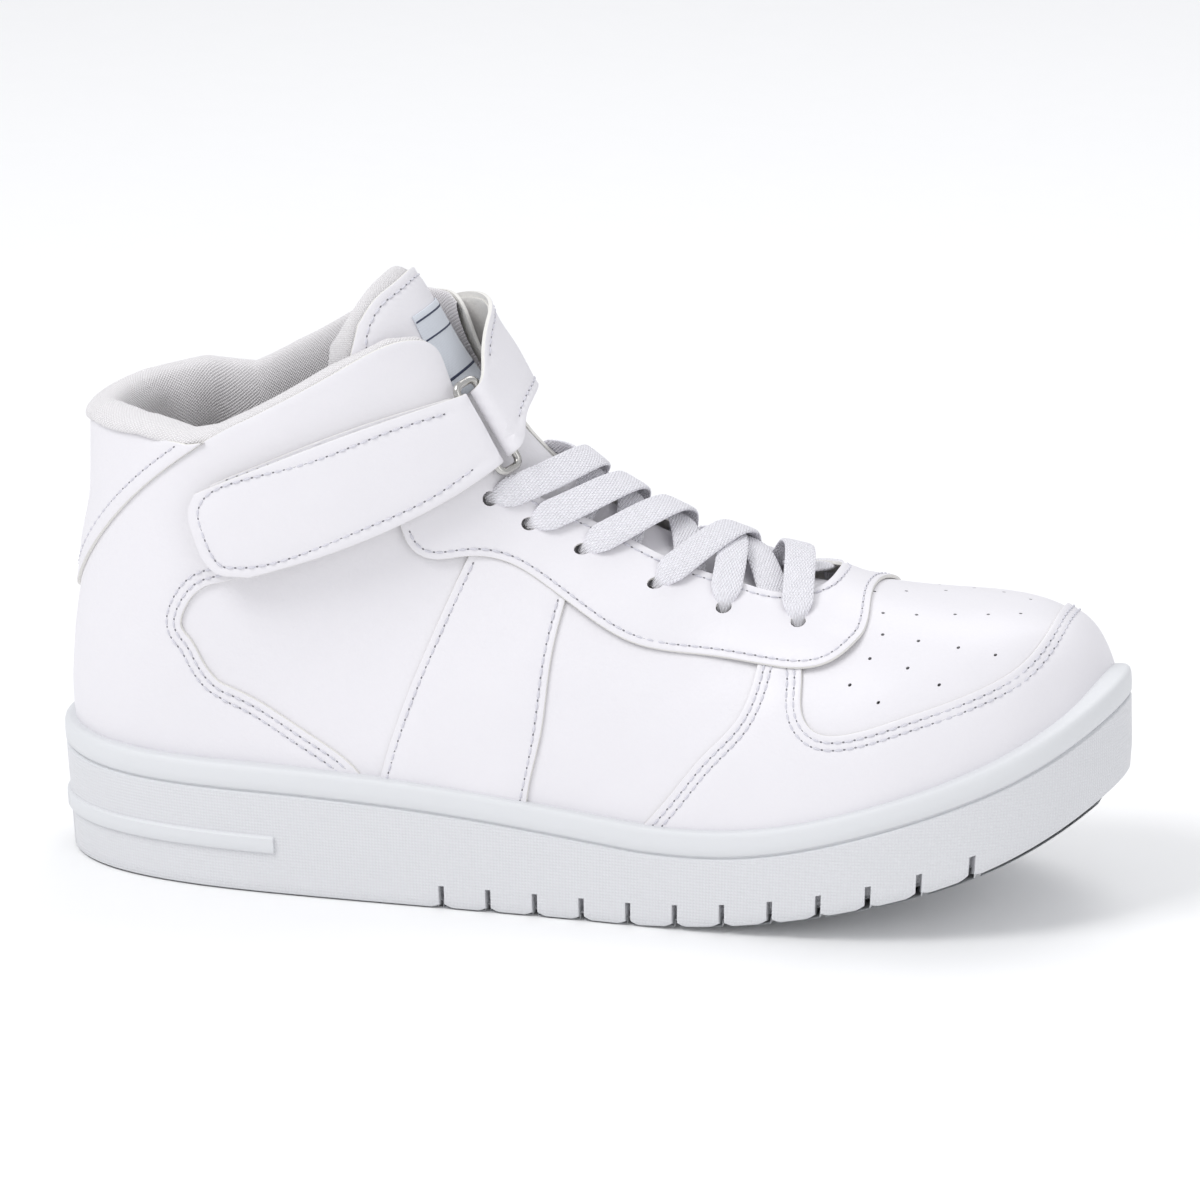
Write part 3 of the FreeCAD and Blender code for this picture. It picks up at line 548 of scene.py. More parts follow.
# the knit, braid and canvas layers of these finishes paint shade into the colour between their
# threads
knit = finish("knit_lining", (0.87, 0.855, 0.865), 0.85, 0.02, sheen=0.25, layers=(
    ("knit", 1050, 0.0003, 0.8), ("noise", 1800, 0.0001, 0.5)))
lace_cloth = finish("lace_cloth", (0.92, 0.915, 0.965), 0.85, 0.02, sheen=0.25, layers=(
    ("braid", 560, 0.00035, 0.9), ("noise", 2600, 0.00018, 0.6)))
rubber = finish("sole_rubber", (0.69, 0.70, 0.718), 0.52, 0.012, layers=(
    ("canvas", 1120, 0.00016, 0.6), ("noise", 900, 0.00005, 0.4)))
pile = finish("loop_pile", (0.86, 0.86, 0.885), 0.95, 0.05, sheen=0.6, patch_scale=500, layers=(
    ("noise", 1400, 0.0008, 1.0), ("noise", 4200, 0.0004, 1.0)))
hook_plastic = finish("hook_plastic", (0.80, 0.80, 0.81), 0.5, 0.05, layers=(
    ("noise", 1500, 0.0002, 0.5),))
nickel = finish("nickel_wire", (0.56, 0.55, 0.53), 0.24, 0.10, metallic=1.0, patch_scale=400,
                layers=(("noise", 900, 0.00004, 0.4),))
label_cloth = finish("label_cloth", (0.70, 0.74, 0.80), 0.6, 0.04, layers=(
    ("knit", 1500, 0.0001, 0.5),))
stripe_cloth = finish("stripe_cloth", (0.035, 0.045, 0.09), 0.6, 0.05, layers=(
    ("knit", 1500, 0.0001, 0.5),))
foam = finish("foam", (0.80, 0.78, 0.70), 0.95, 0.05, layers=(("noise", 1600, 0.0004, 0.8),))
board = finish("fibre_board", (0.60, 0.52, 0.40), 0.9, 0.1, patch_scale=500, layers=(
    ("noise", 1200, 0.0002, 0.6),))
film = finish("aglet_film", (0.80, 0.80, 0.84), 0.2, 0.03, coat=0.5, layers=(
    ("noise", 500, 0.00005, 0.3),))
LEATHER_PLY, SOFT_PLY = [leather, raw_edge], [soft_leather, raw_edge]

# CAD nodes that are shown as they are
for coat_finish, names in (
        (film, ("aglets",)), (nickel, ("strap_ring",)),
        (board, ("insole_board", "heel_counter", "toe_puff")),
        (foam, ("midsole_filler", "quarter_lining_lateral", "quarter_lining_medial",
                "vamp_lining"))):
    for node_name in names:
        mesh_data = nodes[node_name].data
        mesh_data.materials.clear()
        mesh_data.materials.append(coat_finish)
        mesh_data.polygons.foreach_set("material_index",
                                       np.zeros(len(mesh_data.polygons), np.int32))


# ---------------------------------------------------------------- stitching

# one stitch along its length: (place, radius, height)
STITCH = [(-1.12, 0.02, -0.30), (-0.95, 0.22, -0.10), (-0.4, 0.30, 0.10), (0.4, 0.30, 0.10),
          (0.95, 0.22, -0.10), (1.12, 0.02, -0.30)]
STITCH_SIDES, STITCH_PITCH, STITCH_SINK, HOLE_SINK = 6, 3.1, 0.15, 0.12
HOLE_LENGTH, HOLE_WIDTH, ROW_ENDS = 0.40, 0.24, 2.0


def stitches(name, runs, body="shoe", **binding):
    """Rows of sunk threads between needle holes, drawn as flat dark discs of painted shade.
    runs are (path, surface, depth).
    """
    turn = full_turn(STITCH_SIDES)
    cosine, sine = np.cos(turn)[:, None], np.sin(turn)[:, None]
    tube = tube_faces(len(STITCH), STITCH_SIDES, close=True)
    verts, faces, which = [], [], []
    for path, surface, depth in runs:
        arc = arc_length(surface(*path.T))
        count = int((arc[-1] - ROW_ENDS) / STITCH_PITCH)
        if count < 1:
            continue
        start = (arc[-1] - count * STITCH_PITCH) / 2

        def at(distance):
            flat = along_line(distance, arc, path).T
            return surface(*flat), outward(surface, *flat)
        ends, end_normals = at(start + STITCH_PITCH * np.arange(count + 1))
        middles, up = at(start + STITCH_PITCH * (np.arange(count) + 0.5))
        ahead = unit(np.diff(ends, axis=0))
        side = unit(np.cross(up, ahead))
        for m, n, t, s in zip(middles + up * (depth - STITCH_SINK), up, ahead, side):
            faces += [tuple(len(verts) + v for v in f) for f in tube]
            which += [0] * len(tube)
            for x, radius, lift in STITCH:
                verts.extend((m + t * x + n * lift)[None] + radius * (
                    cosine * s[None] + sine * n[None]))
        tangent = unit(np.gradient(ends, axis=0))
        across = unit(np.cross(end_normals, tangent))
        # at each stitch's end a flat dark disc, painted shade for its needle hole
        for m, t, s in zip(ends + end_normals * (depth - HOLE_SINK), tangent, across):
            faces.append(tuple(len(verts) + i for i in range(STITCH_SIDES))[::-1])
            which.append(1)
            verts.extend(m[None] + HOLE_LENGTH * cosine * t[None] + HOLE_WIDTH * sine * s[None])
    make(name, verts, faces, [shaded_thread, needle_hole_shade], body=body, which=which, sharp=80, **binding)


def row(points, sides, inset, surface=skin, spacing=1.2):
    """A sewing line: a path a little way inside one edge of the panel with the given sides."""
    path = smooth_path(points, surface, spacing)
    outline = closed_outline(sides, surface, 3.0)
    choices = [moved(path, surface, distance) for distance in (inset, -inset)]
    held = [inside(choice[2:-2], outline) for choice in choices]
    best = int(held[1].sum() > held[0].sum())
    path, held = choices[best][2:-2], held[best]
    first, last = np.argmax(held), len(held) - np.argmax(held[::-1])
    return path[first:last]


# ---------------------------------------------------------------- leather panels of the upper

# Depths are in millimetres from the outer face of the ankle, quarter and toe panels. Outlines
# are (u, theta) points, for the outer side where a panel has one on each side.
LEATHER, GAP = 1.2, 0.05
UNDER_PLY = -LEATHER - GAP
HEEL_SEAM = 269.75
EYELET_RADIUS, VENT_RADIUS = 2.1, 0.5
C_EDGE = [(3.82, 180), (3.73, 178), (3.43, 175), (3.05, 176), (2.68, 184), (2.50, 189),
          (2.40, 192), (2.30, 190), (2.28, 182), (2.32, 174), (2.36, 160), (2.40, 146)]
OUTER_COLLAR = [(0.75, 117), (0.55, 122), (0.42, 134), (0.60, 155), (0.75, 167), (1.00, 187),
                (1.07, 192)]
INNER_COLLAR = [(0.50, 117), (0.30, 122), (0.18, 134), (0.25, 155), (0.35, 167), (0.65, 185),
                (0.95, 192)]
BACK_CURVE = [(1.33, 209), (1.65, 228), (1.92, 248), (2.05, HEEL_SEAM)]


def ankle_outline(collar_edge):
    return [[(2.87, 240), (2.97, 220), (3.17, 206), (3.45, 200), (3.80, 197), (4.02, 196)],
            C_EDGE, [(2.45, 132), (2.45, 121)], [(1.80, 118), (1.10, 116)], collar_edge,
            BACK_CURVE, [(2.80, HEEL_SEAM)]]


QUARTER = [
    [(2.20, 128), (2.12, 150), (2.08, 174), (2.08, 187), (2.15, 197), (2.40, 200), (2.60, 196),
     (2.85, 190), (3.10, 185), (3.40, 185), (3.62, 190), (3.85, 205)],
    [(4.60, 206), (5.40, 206)],
    [(5.58, 182), (5.68, 172), (5.80, 161), (5.95, 152), (5.98, 140), (5.92, 128)],
    [(5.20, 127), (4.50, 127), (3.80, 126), (3.20, 126), (2.70, 129), (2.20, 128)]]
EYESTAY_OUTER = [(1.80, 148), (2.38, 146), (2.63, 145), (2.85, 141), (2.97, 136), (3.15, 132),
                 (3.55, 131), (4.23, 136), (4.60, 138), (5.10, 136.5), (5.78, 136), (6.33, 133),
                 (6.53, 122), (6.50, 105), (6.45, 90)]
THROAT = [(1.80, 121), (2.37, 119), (2.85, 114.5), (3.42, 110.5), (3.93, 110.5), (4.48, 112),
          (5.10, 112), (5.68, 110.5), (5.95, 104), (6.03, 90)]
TOE_WINDOW = [(5.60, 128), (6.00, 131.5), (6.12, 140), (6.20, 149), (6.37, 155), (6.67, 156.5),
              (7.08, 154.5), (7.65, 150.5), (8.13, 141), (8.40, 122), (8.47, 105), (8.48, 90)]
TOE_CAP_REAR = [(5.10, 205), (5.28, 180), (5.37, 172), (5.50, 161), (5.65, 152), (5.68, 142),
                (5.60, 128)]
TOE_CAP_FOOT = [(10.0, 90), (9.93, 140), (9.50, 183), (8.80, 200), (8.00, 205), (7.00, 207),
                (6.00, 207), (5.10, 205)]
BAND_REAR = [(2.93, 134), (3.35, 150), (3.62, 163), (3.90, 180), (4.20, 205)]
BAND_FRONT = [(4.85, 206), (4.62, 180), (4.42, 163), (4.15, 148), (3.80, 130)]
EYELETS = [(2.62, 125), (3.05, 121.5), (3.60, 119.5), (4.38, 121), (5.10, 122), (5.90, 121)]
VENTS = [(6.55, 140), (6.85, 147), (7.05, 134), (7.40, 143), (7.08, 121), (7.50, 125), (7.92, 130),
         (6.67, 130), (6.72, 119), (6.65, 108), (6.97, 106), (7.34, 103), (7.68, 101), (8.03, 97),
         (6.47, 95), (6.75, 90), (7.10, 85)]


def there_and_back(side):
    """A centred edge, continued along its mirror image."""
    return side + mirror(side)[::-1][1:]


for side_name, flip in (("lateral", lambda p: p), ("medial", mirror)):
    collar_edge = OUTER_COLLAR if side_name == "lateral" else INNER_COLLAR
    ankle = [flip(s) for s in ankle_outline(collar_edge)]
    band = [flip(BAND_REAR), flip(BAND_FRONT), flip([(3.35, 127), (2.93, 134)])]
    ankle_rows = [row(flip(C_EDGE), ankle, 2.0), row(flip(C_EDGE), ankle, 4.3)]
    band_rows = [row(flip(BAND_REAR), band, 2.0), row(flip(BAND_FRONT), band, 2.0)]
    panel("ankle_" + side_name, skin, ankle, 0.0, LEATHER, LEATHER_PLY, rows=ankle_rows,
          stands_for=("ankle_panel_" + side_name,))
    panel("quarter_skin_" + side_name, skin, [flip(s) for s in QUARTER], UNDER_PLY, LEATHER,
          LEATHER_PLY, stands_for=("quarter_" + side_name,))
    panel("band_" + side_name, skin, band, 0.0, LEATHER, LEATHER_PLY, rows=band_rows,
          stands_for=("saddle_band_" + side_name,))
    stitches("ankle_stitches_" + side_name, [(r, skin, 0.0) for r in ankle_rows + band_rows])

ACHILLES_EDGE = [(1.00, 189)] + BACK_CURVE + [(1.92, 291), (1.65, 311), (1.33, 331), (1.05, 345)]
edge_height = steps([189, 209, 228, 248, 269.3, 291, 311, 331, 351],
                    [1.00, 1.33, 1.65, 1.92, 2.05, 1.92, 1.65, 1.33, 1.00])


def heel_lap(u, theta):
    """The heel panel lies over the ankle panels at its lower edge and sinks level above it."""
    away = np.clip(((edge_height(theta) - u) * 18 - 2.5) / 8, 0, 1)
    return -1.25 * eased(away)


achilles = [[(1.02, 194), (0.73, 212), (0.50, 240), (0.46, 270), (0.46, 300), (0.55, 328),
             (0.74, 345), (0.68, 354)], [(0.98, 355)],
            [(u + 0.05, t) for u, t in ACHILLES_EDGE[::-1]], [(1.02, 194)]]
panel("achilles", skin, achilles, 1.15, LEATHER, SOFT_PLY, relief=heel_lap,
      rows=[row(ACHILLES_EDGE, achilles, 2.6)], sewn_as="achilles_stitches",
      stands_for=("achilles_panel",))

TOE_CAP = [there_and_back(TOE_WINDOW), mirror(TOE_CAP_REAR)[::-1],
           mirror(TOE_CAP_FOOT)[::-1] + TOE_CAP_FOOT[1:], TOE_CAP_REAR]
toe_rows = [row(edge, TOE_CAP, inset) for inset in (2.0, 4.0)
            for edge in (there_and_back(TOE_WINDOW), TOE_CAP_REAR, mirror(TOE_CAP_REAR))]
panel("toe_cap_skin", skin, TOE_CAP, 0.0, LEATHER, LEATHER_PLY, rows=toe_rows,
      sewn_as="toe_stitches", stands_for=("toe_cap",))

vents = [(u, t, VENT_RADIUS) for u, t in VENTS + mirror([v for v in VENTS if v[1] > 96])]
# the vents' walls take the grey of painted shade
panel("toe_box_skin", skin, [[(6.05, 164), (6.07, 90), (6.05, 16)], [(7.60, 14), (8.50, 22)],
                             [(8.80, 55), (8.85, 90), (8.80, 125), (8.50, 158)],
                             [(7.60, 166), (6.05, 164)]],
      UNDER_PLY, LEATHER, [leather, raw_edge, vent_wall_shade], holes=vents, stands_for=("toe_box",))


def eyestay_sink(u, theta):
    """The eyestay lies lower where no other ply is under it."""
    edge = np.clip((np.abs(theta - 90) - 33) / 8, 0, 1)
    front = np.clip((37 - np.abs(theta - 90)) / 9, 0, 1) * np.clip((u - 6.0) / 0.28, 0, 1)
    return -0.85 * edge * np.exp(-((u - 4.95) / 0.45) ** 2) - 1.1 * eased(front)


EYESTAY = [EYESTAY_OUTER[1:] + mirror(EYESTAY_OUTER[1:])[::-1][1:], mirror([THROAT[0]]),
           mirror(THROAT[1:]) + THROAT[::-1][1:-1], [THROAT[0]], [EYESTAY_OUTER[0]]]
eyestay_rows = [row(there_and_back(EYESTAY_OUTER[1:]), EYESTAY, 2.0),
                row(there_and_back(THROAT[1:]), EYESTAY, 2.2)]
holes = [(u, t, EYELET_RADIUS) for u, t in EYELETS + mirror(EYELETS)]
panel("eyestay_skin", skin, EYESTAY, LEATHER, LEATHER - GAP, LEATHER_PLY, holes=holes,
      rows=eyestay_rows, relief=eyestay_sink, sewn_as="eyestay_stitches",
      stands_for=("eyestay",))


# ---------------------------------------------------------------- knit collar

COLLAR = steps([117, 122, 134, 155, 167, 187, 196, 212, 240, 270, 300, 328, 345, 355, 373, 385,
                406, 418, 423],
               [.75, .55, .42, .60, .75, 1.0, 1.0, .73, .50, .46, .46, .55, .75, .65, .35, .25,
                .18, .30, .50])
FRONT_REACH = steps([117, 150, 190, 350, 390, 423], [0.12, 0.75, 1.0, 1.0, 0.75, 0.12])
OVER_EDGE = steps([180, 206, 326, 350], [0.0, 1.0, 1.0, 0.0])


# the roll, from the collar's edge over and down inside: (u past the edge, depth) at the back,
# and the same at the sides
ROLL = [(0.03, 0.1, 0.10, -1.6), (0.01, 0.9, 0.06, -1.7), (-0.04, 1.25, 0.03, -1.75),
        (-0.09, 0.8, 0.0, -2.0), (-0.14, -0.6, -0.04, -2.8), (-0.17, -2.6, -0.07, -4.2),
        (-0.17, -4.8, -0.09, -5.8), (-0.13, -7.0, -0.07, -7.6), (-0.04, -9.0, -0.01, -9.2),
        (0.12, -10.6, 0.12, -10.6), (0.32, -11.4, 0.32, -11.4), (0.60, -11.2, 0.60, -11.2),
        (0.85, -10.0, 0.85, -10.0), (1.10, -8.2, 1.10, -8.2)]
# the lining under it: (share of the way down, depth)
LINING = [(0.45, -6.3), (0.70, -5.0), (0.87, -4.4), (1.0, -4.1)]
LINING_END = steps([117, 135, 200, 340, 405, 423], [2.0, 2.5, 3.3, 3.3, 2.5, 1.8])
INNER_FACE = -1.6   # the padding hangs from this depth, and thins towards the front


def collar_row(step, theta):
    """One line of the collar's knit, as (u, depth)."""
    edge, thin, over = COLLAR(theta), FRONT_REACH(theta), OVER_EDGE(theta)
    if step < len(ROLL):
        back_u, back_depth, side_u, side_depth = ROLL[step]
        rise = side_u + (back_u - side_u) * over
        depth = side_depth + (back_depth - side_depth) * over
        thinned = INNER_FACE + (depth - INNER_FACE) * thin
        return edge + rise, np.where(depth < INNER_FACE, thinned, depth)
    share, depth = LINING[step - len(ROLL)]
    start = edge + ROLL[-1][0]
    end = np.maximum(start + 0.3, LINING_END(theta))
    return (start + (end - start) * share,
            INNER_FACE + (depth - INNER_FACE) * (0.35 + 0.65 * thin))


COLLAR_STEPS = len(ROLL) + len(LINING)
around = np.arange(117, 423.1, 1.5)
coarse = np.array([np.stack(collar_row(i, around), -1) for i in range(COLLAR_STEPS)])
fine_steps = np.linspace(0, COLLAR_STEPS - 1, 62)
lines = np.stack([[Curve(range(COLLAR_STEPS), knots)(fine_steps) for knots in coarse[..., k].T]
                  for k in (0, 1)], -1).swapaxes(0, 1)
place = section_point(lines[..., 0], around[None, :], lines[..., 1])
normal = unit(np.cross(np.gradient(place, axis=1), np.gradient(place, axis=0)))
deep = np.clip((-lines[..., 1] - 4) / 5, 0, 1)   # folds of the knit show only well inside
sag = (0.45 * np.sin(around / 6.5 + 1.2 * np.sin(around / 17.0))[None] * deep
       + 0.25 * np.sin(place[..., 0] / 5.2 + place[..., 2] / 6.1) * deep)
place = place + normal * sag[..., None]
across_arc = np.cumsum(np.linalg.norm(np.diff(place, axis=0, prepend=place[:1]), axis=-1), axis=0)
along_arc = np.cumsum(np.linalg.norm(np.diff(place, axis=1, prepend=place[:, :1]), axis=-1), axis=1)
cloth = np.stack([along_arc[28][None] + 0 * across_arc, across_arc], -1)
collar = make("collar_roll", place.reshape(-1, 3),
              [f[::-1] for f in tube_faces(*place.shape[:2])], [knit], slot="knit",
              stands_for=("collar_pad", "collar_lining"), uv=cloth.reshape(-1, 2), sharp=75)


# ---------------------------------------------------------------- tongue

# sections from the vamp (k 0) to the top edge (k 7)
TONGUE = table(
    ("x", "z", "half_width", "wrap"),
    [
        (59, 86.2, 27, 18),
        (40, 90, 21, 12),
        (16, 99.5, 20.5, 20),
        (-3, 110, 21.3, 31),
        (-21, 126, 25, 35),
        (-36, 144, 28, 38),
        (-45, 159, 28, 34),
        (-53, 170, 25, 24),
    ])


def tongue_point(k, phi):
    """Tongue face. k runs from the vamp to the top edge, phi across it from -90 to 90."""
    k, phi = np.broadcast_arrays(np.asarray(k, float), np.asarray(phi, float))
    s = {name: curve(k) for name, curve in TONGUE.items()}
    ahead = unit(np.stack([TONGUE["x"](k + 0.05) - TONGUE["x"](k - 0.05), 0 * k,
                           TONGUE["z"](k + 0.05) - TONGUE["z"](k - 0.05)], -1))
    inward = np.stack([-ahead[..., 2], 0 * k, ahead[..., 0]], -1)
    angle = np.radians(phi)
    middle = np.stack([s["x"], s["half_width"] * np.sin(angle), s["z"]], -1)
    return middle + inward * (s["wrap"] * (1 - np.cos(angle)))[..., None]


tongue = shell(tongue_point)
TONGUE_SCALE = np.array((21.0, 0.5))   # about how many millimetres one k and one degree are
TONGUE_BLEND = ("shoe", "tongue_top", (-0.0095, 0, 0.1045), (-0.0235, 0, 0.1145))


def tongue_cushion():
    """Closed padded body behind the leather face, thickest at its middle and rounded at its rim."""
    tip = 0.84   # from here on the rows crowd together towards the top edge
    rise = np.concatenate([np.linspace(0, tip, 56)[:-1],
                           tip + (1 - tip) * np.sin(np.linspace(0, np.pi / 2, 22))])
    swing = np.sin(np.linspace(-np.pi / 2, np.pi / 2, 53))
    w, t = np.meshgrid(rise, swing, indexing="ij")
    phi = 76 * t   # degrees to each side
    top = 7.0 - 0.55 * np.abs(t) ** 2.6
    k = top * w - 0.5 * (1 - w)
    foam = steps([0, 2.8, 4.2, 7], [4.6, 4.8, 7.8, 7.8])(k)
    rim = np.sqrt(np.clip(1 - np.abs(t) ** 5, 0, 1))
    crown = np.sqrt(np.clip(1 - np.clip((w - 0.93) / 0.07, 0, 1) ** 2, 0, 1))
    foot = np.sqrt(np.clip(1 - np.clip((0.03 - w) / 0.03, 0, 1) ** 2, 0, 1))
    half = np.maximum(0.5 * foam * rim * crown * foot, 0.12)
    puff = 0.5 * np.sin(k * 3.1 + 0.8 * np.sin(phi / 21)) * np.clip(k - 3.5, 0, 1)
    middle = -1.3 - 0.5 * foam
    front = tongue(k, phi, middle + half)
    rear = tongue(k, phi, middle - half + puff * (half > 1.5))
    cloth = np.stack([phi * 0.52, k * TONGUE_SCALE[0]], -1)
    verts = np.concatenate([front.reshape(-1, 3), rear.reshape(-1, 3)])
    return make("tongue_cushion", verts, pad_faces(*phi.shape), [knit], slot="knit", sharp=75,
                uv=np.concatenate([cloth.reshape(-1, 2)] * 2), blend=TONGUE_BLEND,
                stands_for=("tongue_pad", "tongue_lining", "tongue_top_pad", "tongue_top_lining"))


tongue_cushion()
TONGUE_FACE = [[(-0.5, -66), (-0.5, 0), (-0.5, 66)], [(3.3, 66), (6.0, 62)],
               [(6.45, 56), (6.66, 44), (6.72, 25), (6.74, 0), (6.72, -25), (6.66, -44),
                (6.45, -56)],
               [(6.0, -62), (3.3, -66), (-0.5, -66)]]
TONGUE_ROW = [(1.0, 58), (3.3, 58), (5.6, 55), (6.25, 50), (6.48, 40), (6.52, 25)]
tongue_row = smooth_path(TONGUE_ROW + [(6.54, 0)] + [(k, -phi) for k, phi in TONGUE_ROW[::-1]],
                         tongue, 1.2)
panel("tongue_leather", tongue, TONGUE_FACE, 0.0, LEATHER, SOFT_PLY, rows=[tongue_row],
      scale=TONGUE_SCALE, sewn_as="tongue_stitches", blend=TONGUE_BLEND,
      stands_for=("tongue_face", "tongue_top_face"))


def woven(name, low, high, half_low, half_high, top, thick, cloth, **options):
    """Flat cloth across the tongue's top, between two of its levels."""
    panel(name, tongue, [[(low, -half_low), (low, 0), (low, half_low)], [(high, half_high)],
                         [(high, 0), (high, -half_high)], [(low, -half_low)]],
          top, thick, [cloth, cloth], scale=TONGUE_SCALE, body="tongue_top", slot="label",
          **options)


woven("woven_label", 4.6, 5.95, 25, 24, 0.62, 0.5, label_cloth, rim=0.3,
      stands_for=("tongue_label",))
for index, (low, high) in enumerate(((4.83, 4.865), (5.46, 5.49), (5.80, 5.835))):
    woven("label_stripe_%d" % index, low, high, 24, 23.5, 0.72, 0.2, stripe_cloth, rim=0.15,
          spacing=1.2)


# ---------------------------------------------------------------- ankle strap

# thickness of the strap's leather, and the outer face of each of its layers
PLY = 1.25
STRAP_BASE_TOP, PILE_TOP, HOOK_TOP, FLAP_TOP = 2.55, 3.8, 4.85, 6.15
# the ring: its near bar's depth, angle and ends, the way to its far bar, and its wire's radius
BAR_DEPTH, BAR_ANGLE, BAR_TOP, BAR_FOOT, RING_SPAN, WIRE = 3.725, 119.5, 1.50, 2.36, 7.0, 1.1


def strap_sides(top, foot, front, free_end):
    """Outline of one layer of the strap, from its front edge to its rounded free end."""
    return [[(top + 0.14, free_end), (top + 0.04, 169), (top, max(145, front + 12)),
             (top + 0.07, front)], [(foot - 0.03, front)],
            [(foot + 0.02, max(135, front + 8)), (foot, 157), (foot - 0.08, free_end - 14)],
            [(foot - 0.22, free_end - 6), (top + 0.45, free_end), (top + 0.25, free_end + 1.5),
             (top + 0.14, free_end)]]


anchor_row = smooth_path([(1.54, 184), (1.49, 169), (1.46, 145), (1.52, 127)], skin, 1.2)
panel("strap_base", skin, strap_sides(1.40, 2.36, 121.5, 187), STRAP_BASE_TOP, PLY, LEATHER_PLY,
      rows=[anchor_row], sewn_as="strap_base_stitches", stands_for=("strap_anchor",))


def tufts(u, theta):
    """Uneven loops of the fastener's pile."""
    return (0.16 * np.sin(u * 130 + 3 * np.sin(theta * 1.7))
            * np.sin(theta * 5.1 + 4 * np.sin(u * 37)))


panel("fastener_pile", skin, strap_sides(1.46, 2.30, 128.0, 184), PILE_TOP, 1.2, [pile, pile],
      spacing=1.3, relief=tufts, rim=0.6, slot="pile", stands_for=("loop_pile_patch",))
bar_top = skin(BAR_TOP, BAR_ANGLE, BAR_DEPTH)
bar_foot = skin(BAR_FOOT, BAR_ANGLE, BAR_DEPTH)
bar_along = unit(bar_foot - bar_top)
bar_middle = (bar_top + bar_foot) / 2
bar_across = skin((BAR_TOP + BAR_FOOT) / 2, BAR_ANGLE - 10, BAR_DEPTH) - bar_middle
bar_across = unit(bar_across - bar_along * np.dot(bar_along, bar_across))
bar_out = np.cross(bar_along, bar_across)


def arm_from(bar, place):
    """A point's own centre on the line of a bar of the ring, and its arm from there."""
    arm = place - bar
    along = np.sum(arm * bar_along, -1)[..., None] * bar_along
    return bar + along, arm - along


def swung(centre, arm, degrees):
    """An arm turned about the direction of the ring's bars."""
    turn = np.radians(degrees)[..., None]
    return centre + arm * np.cos(turn) + np.cross(bar_along, arm) * np.sin(turn)


FLAP_TURN, FAR_TURN = 14.5, 15.0   # degrees round a bar for each degree round the ankle


def flap_bow(u, theta):
    """The loose flap stands off a little along its top edge."""
    return (0.5 * np.exp(-((u - 1.5) / 0.16) ** 2) * np.clip((theta - 128) / 20, 0, 1)
            * np.clip((190 - theta) / 12, 0, 1))


def flap_point(u, theta):
    """Outer face of the flap: over the ankle, then turning round the ring's near bar."""
    u, theta = np.broadcast_arrays(np.asarray(u, float), np.asarray(theta, float))
    flat = np.maximum(theta, BAR_ANGLE)
    centre, arm = arm_from(bar_top, skin(u, flat, FLAP_TOP + flap_bow(u, flat)))
    return swung(centre, arm, FLAP_TURN * (theta - flat))


flap = shell(flap_point)
flap_sides = strap_sides(1.44, 2.38, 116.0, 190)
flap_edge = [(1.51, 122), (1.47, 130), (1.44, 145), (1.48, 169), (1.58, 190), (1.69, 191.5),
             (1.89, 190), (2.16, 184), (2.30, 176), (2.38, 155), (2.40, 135), (2.37, 128),
             (2.35, 122)]
panel("strap_leaf", flap, flap_sides, 0.0, PLY, LEATHER_PLY, body="strap_end",
      rows=[row(flap_edge, flap_sides, 3.0, flap)], sewn_as="strap_leaf_stitches",
      stands_for=("strap_flap",))

# one hook: the four corners of its foot, its neck, and its bent tip, as (u, theta, depth)
HOOK = [(-0.016, -0.4, 4.2), (0.016, -0.4, 4.2), (0.016, 0.4, 4.2), (-0.016, 0.4, 4.2),
        (-0.004, 0.3, 3.92), (0.02, 0.9, 3.92), (0.0, 1.2, 4.05)]
HOOK_FACES = [(0, 1, 4), (1, 2, 4), (2, 3, 4), (3, 0, 4), (4, 5, 6), (4, 6, 5)]


def hook_field():
    """Fastener backing with rows of small hooks facing the pile."""
    sides = strap_sides(1.52, 2.28, 140.0, 184)
    loop = closed_outline(sides, skin, 1.5) * SKIN_SCALE
    verts, faces = [], []
    for u in np.arange(1.56, 2.26, 0.075):
        for theta in np.arange(142, 183, 2.4):
            if inside(np.array([[u, theta]]) * SKIN_SCALE, loop)[0]:
                faces += [tuple(len(verts) + v for v in f) for f in HOOK_FACES]
                verts += [skin(u + du, theta + dt, depth) for du, dt, depth in HOOK]
    make("hook_rows", verts, faces, [hook_plastic], body="strap_end", slot="hooks")
    panel("hook_backing", skin, sides, HOOK_TOP, 0.6, [hook_plastic, hook_plastic],
          body="strap_end", slot="hooks", rim=0.3, stands_for=("hook_patch",))


hook_field()


def anchor_fold(inner, outer):
    """Strap leather turned round the ring's near bar, with soft edges."""
    length = np.linalg.norm(bar_foot - bar_top)
    profile = [(0.0, outer - 0.45), (0.15, outer - 0.12), (0.5, outer)]
    profile += [(1 + (length - 2) * i / 30, outer + 0.06 * math.sin(i * 1.3)) for i in range(31)]
    profile += [(length - 0.5, outer), (length - 0.15, outer - 0.12), (length, outer - 0.45),
                (length, inner + 0.1), (length - 0.1, inner), (0.1, inner), (0.0, inner + 0.1)]
    sides, levels = 28, len(profile)
    turn = full_turn(sides)
    spokes = np.cos(turn)[:, None] * bar_across + np.sin(turn)[:, None] * bar_out
    verts = np.concatenate([bar_top + bar_along * a + radius * spokes for a, radius in profile])
    faces = tube_faces(levels, sides, close=True)
    last = sides * (levels - 1)
    faces += [(last + j, last + (j + 1) % sides, (j + 1) % sides, j) for j in range(sides)]
    raw = sides * 7   # the last six levels and the closing one are cut edge and inner face
    make("anchor_fold", verts, faces, LEATHER_PLY, which=[0] * (len(faces) - raw) + [1] * raw,
         sharp=60, stands_for=("strap_fold",))


anchor_fold(WIRE + 0.1, BAR_DEPTH - 1.5)

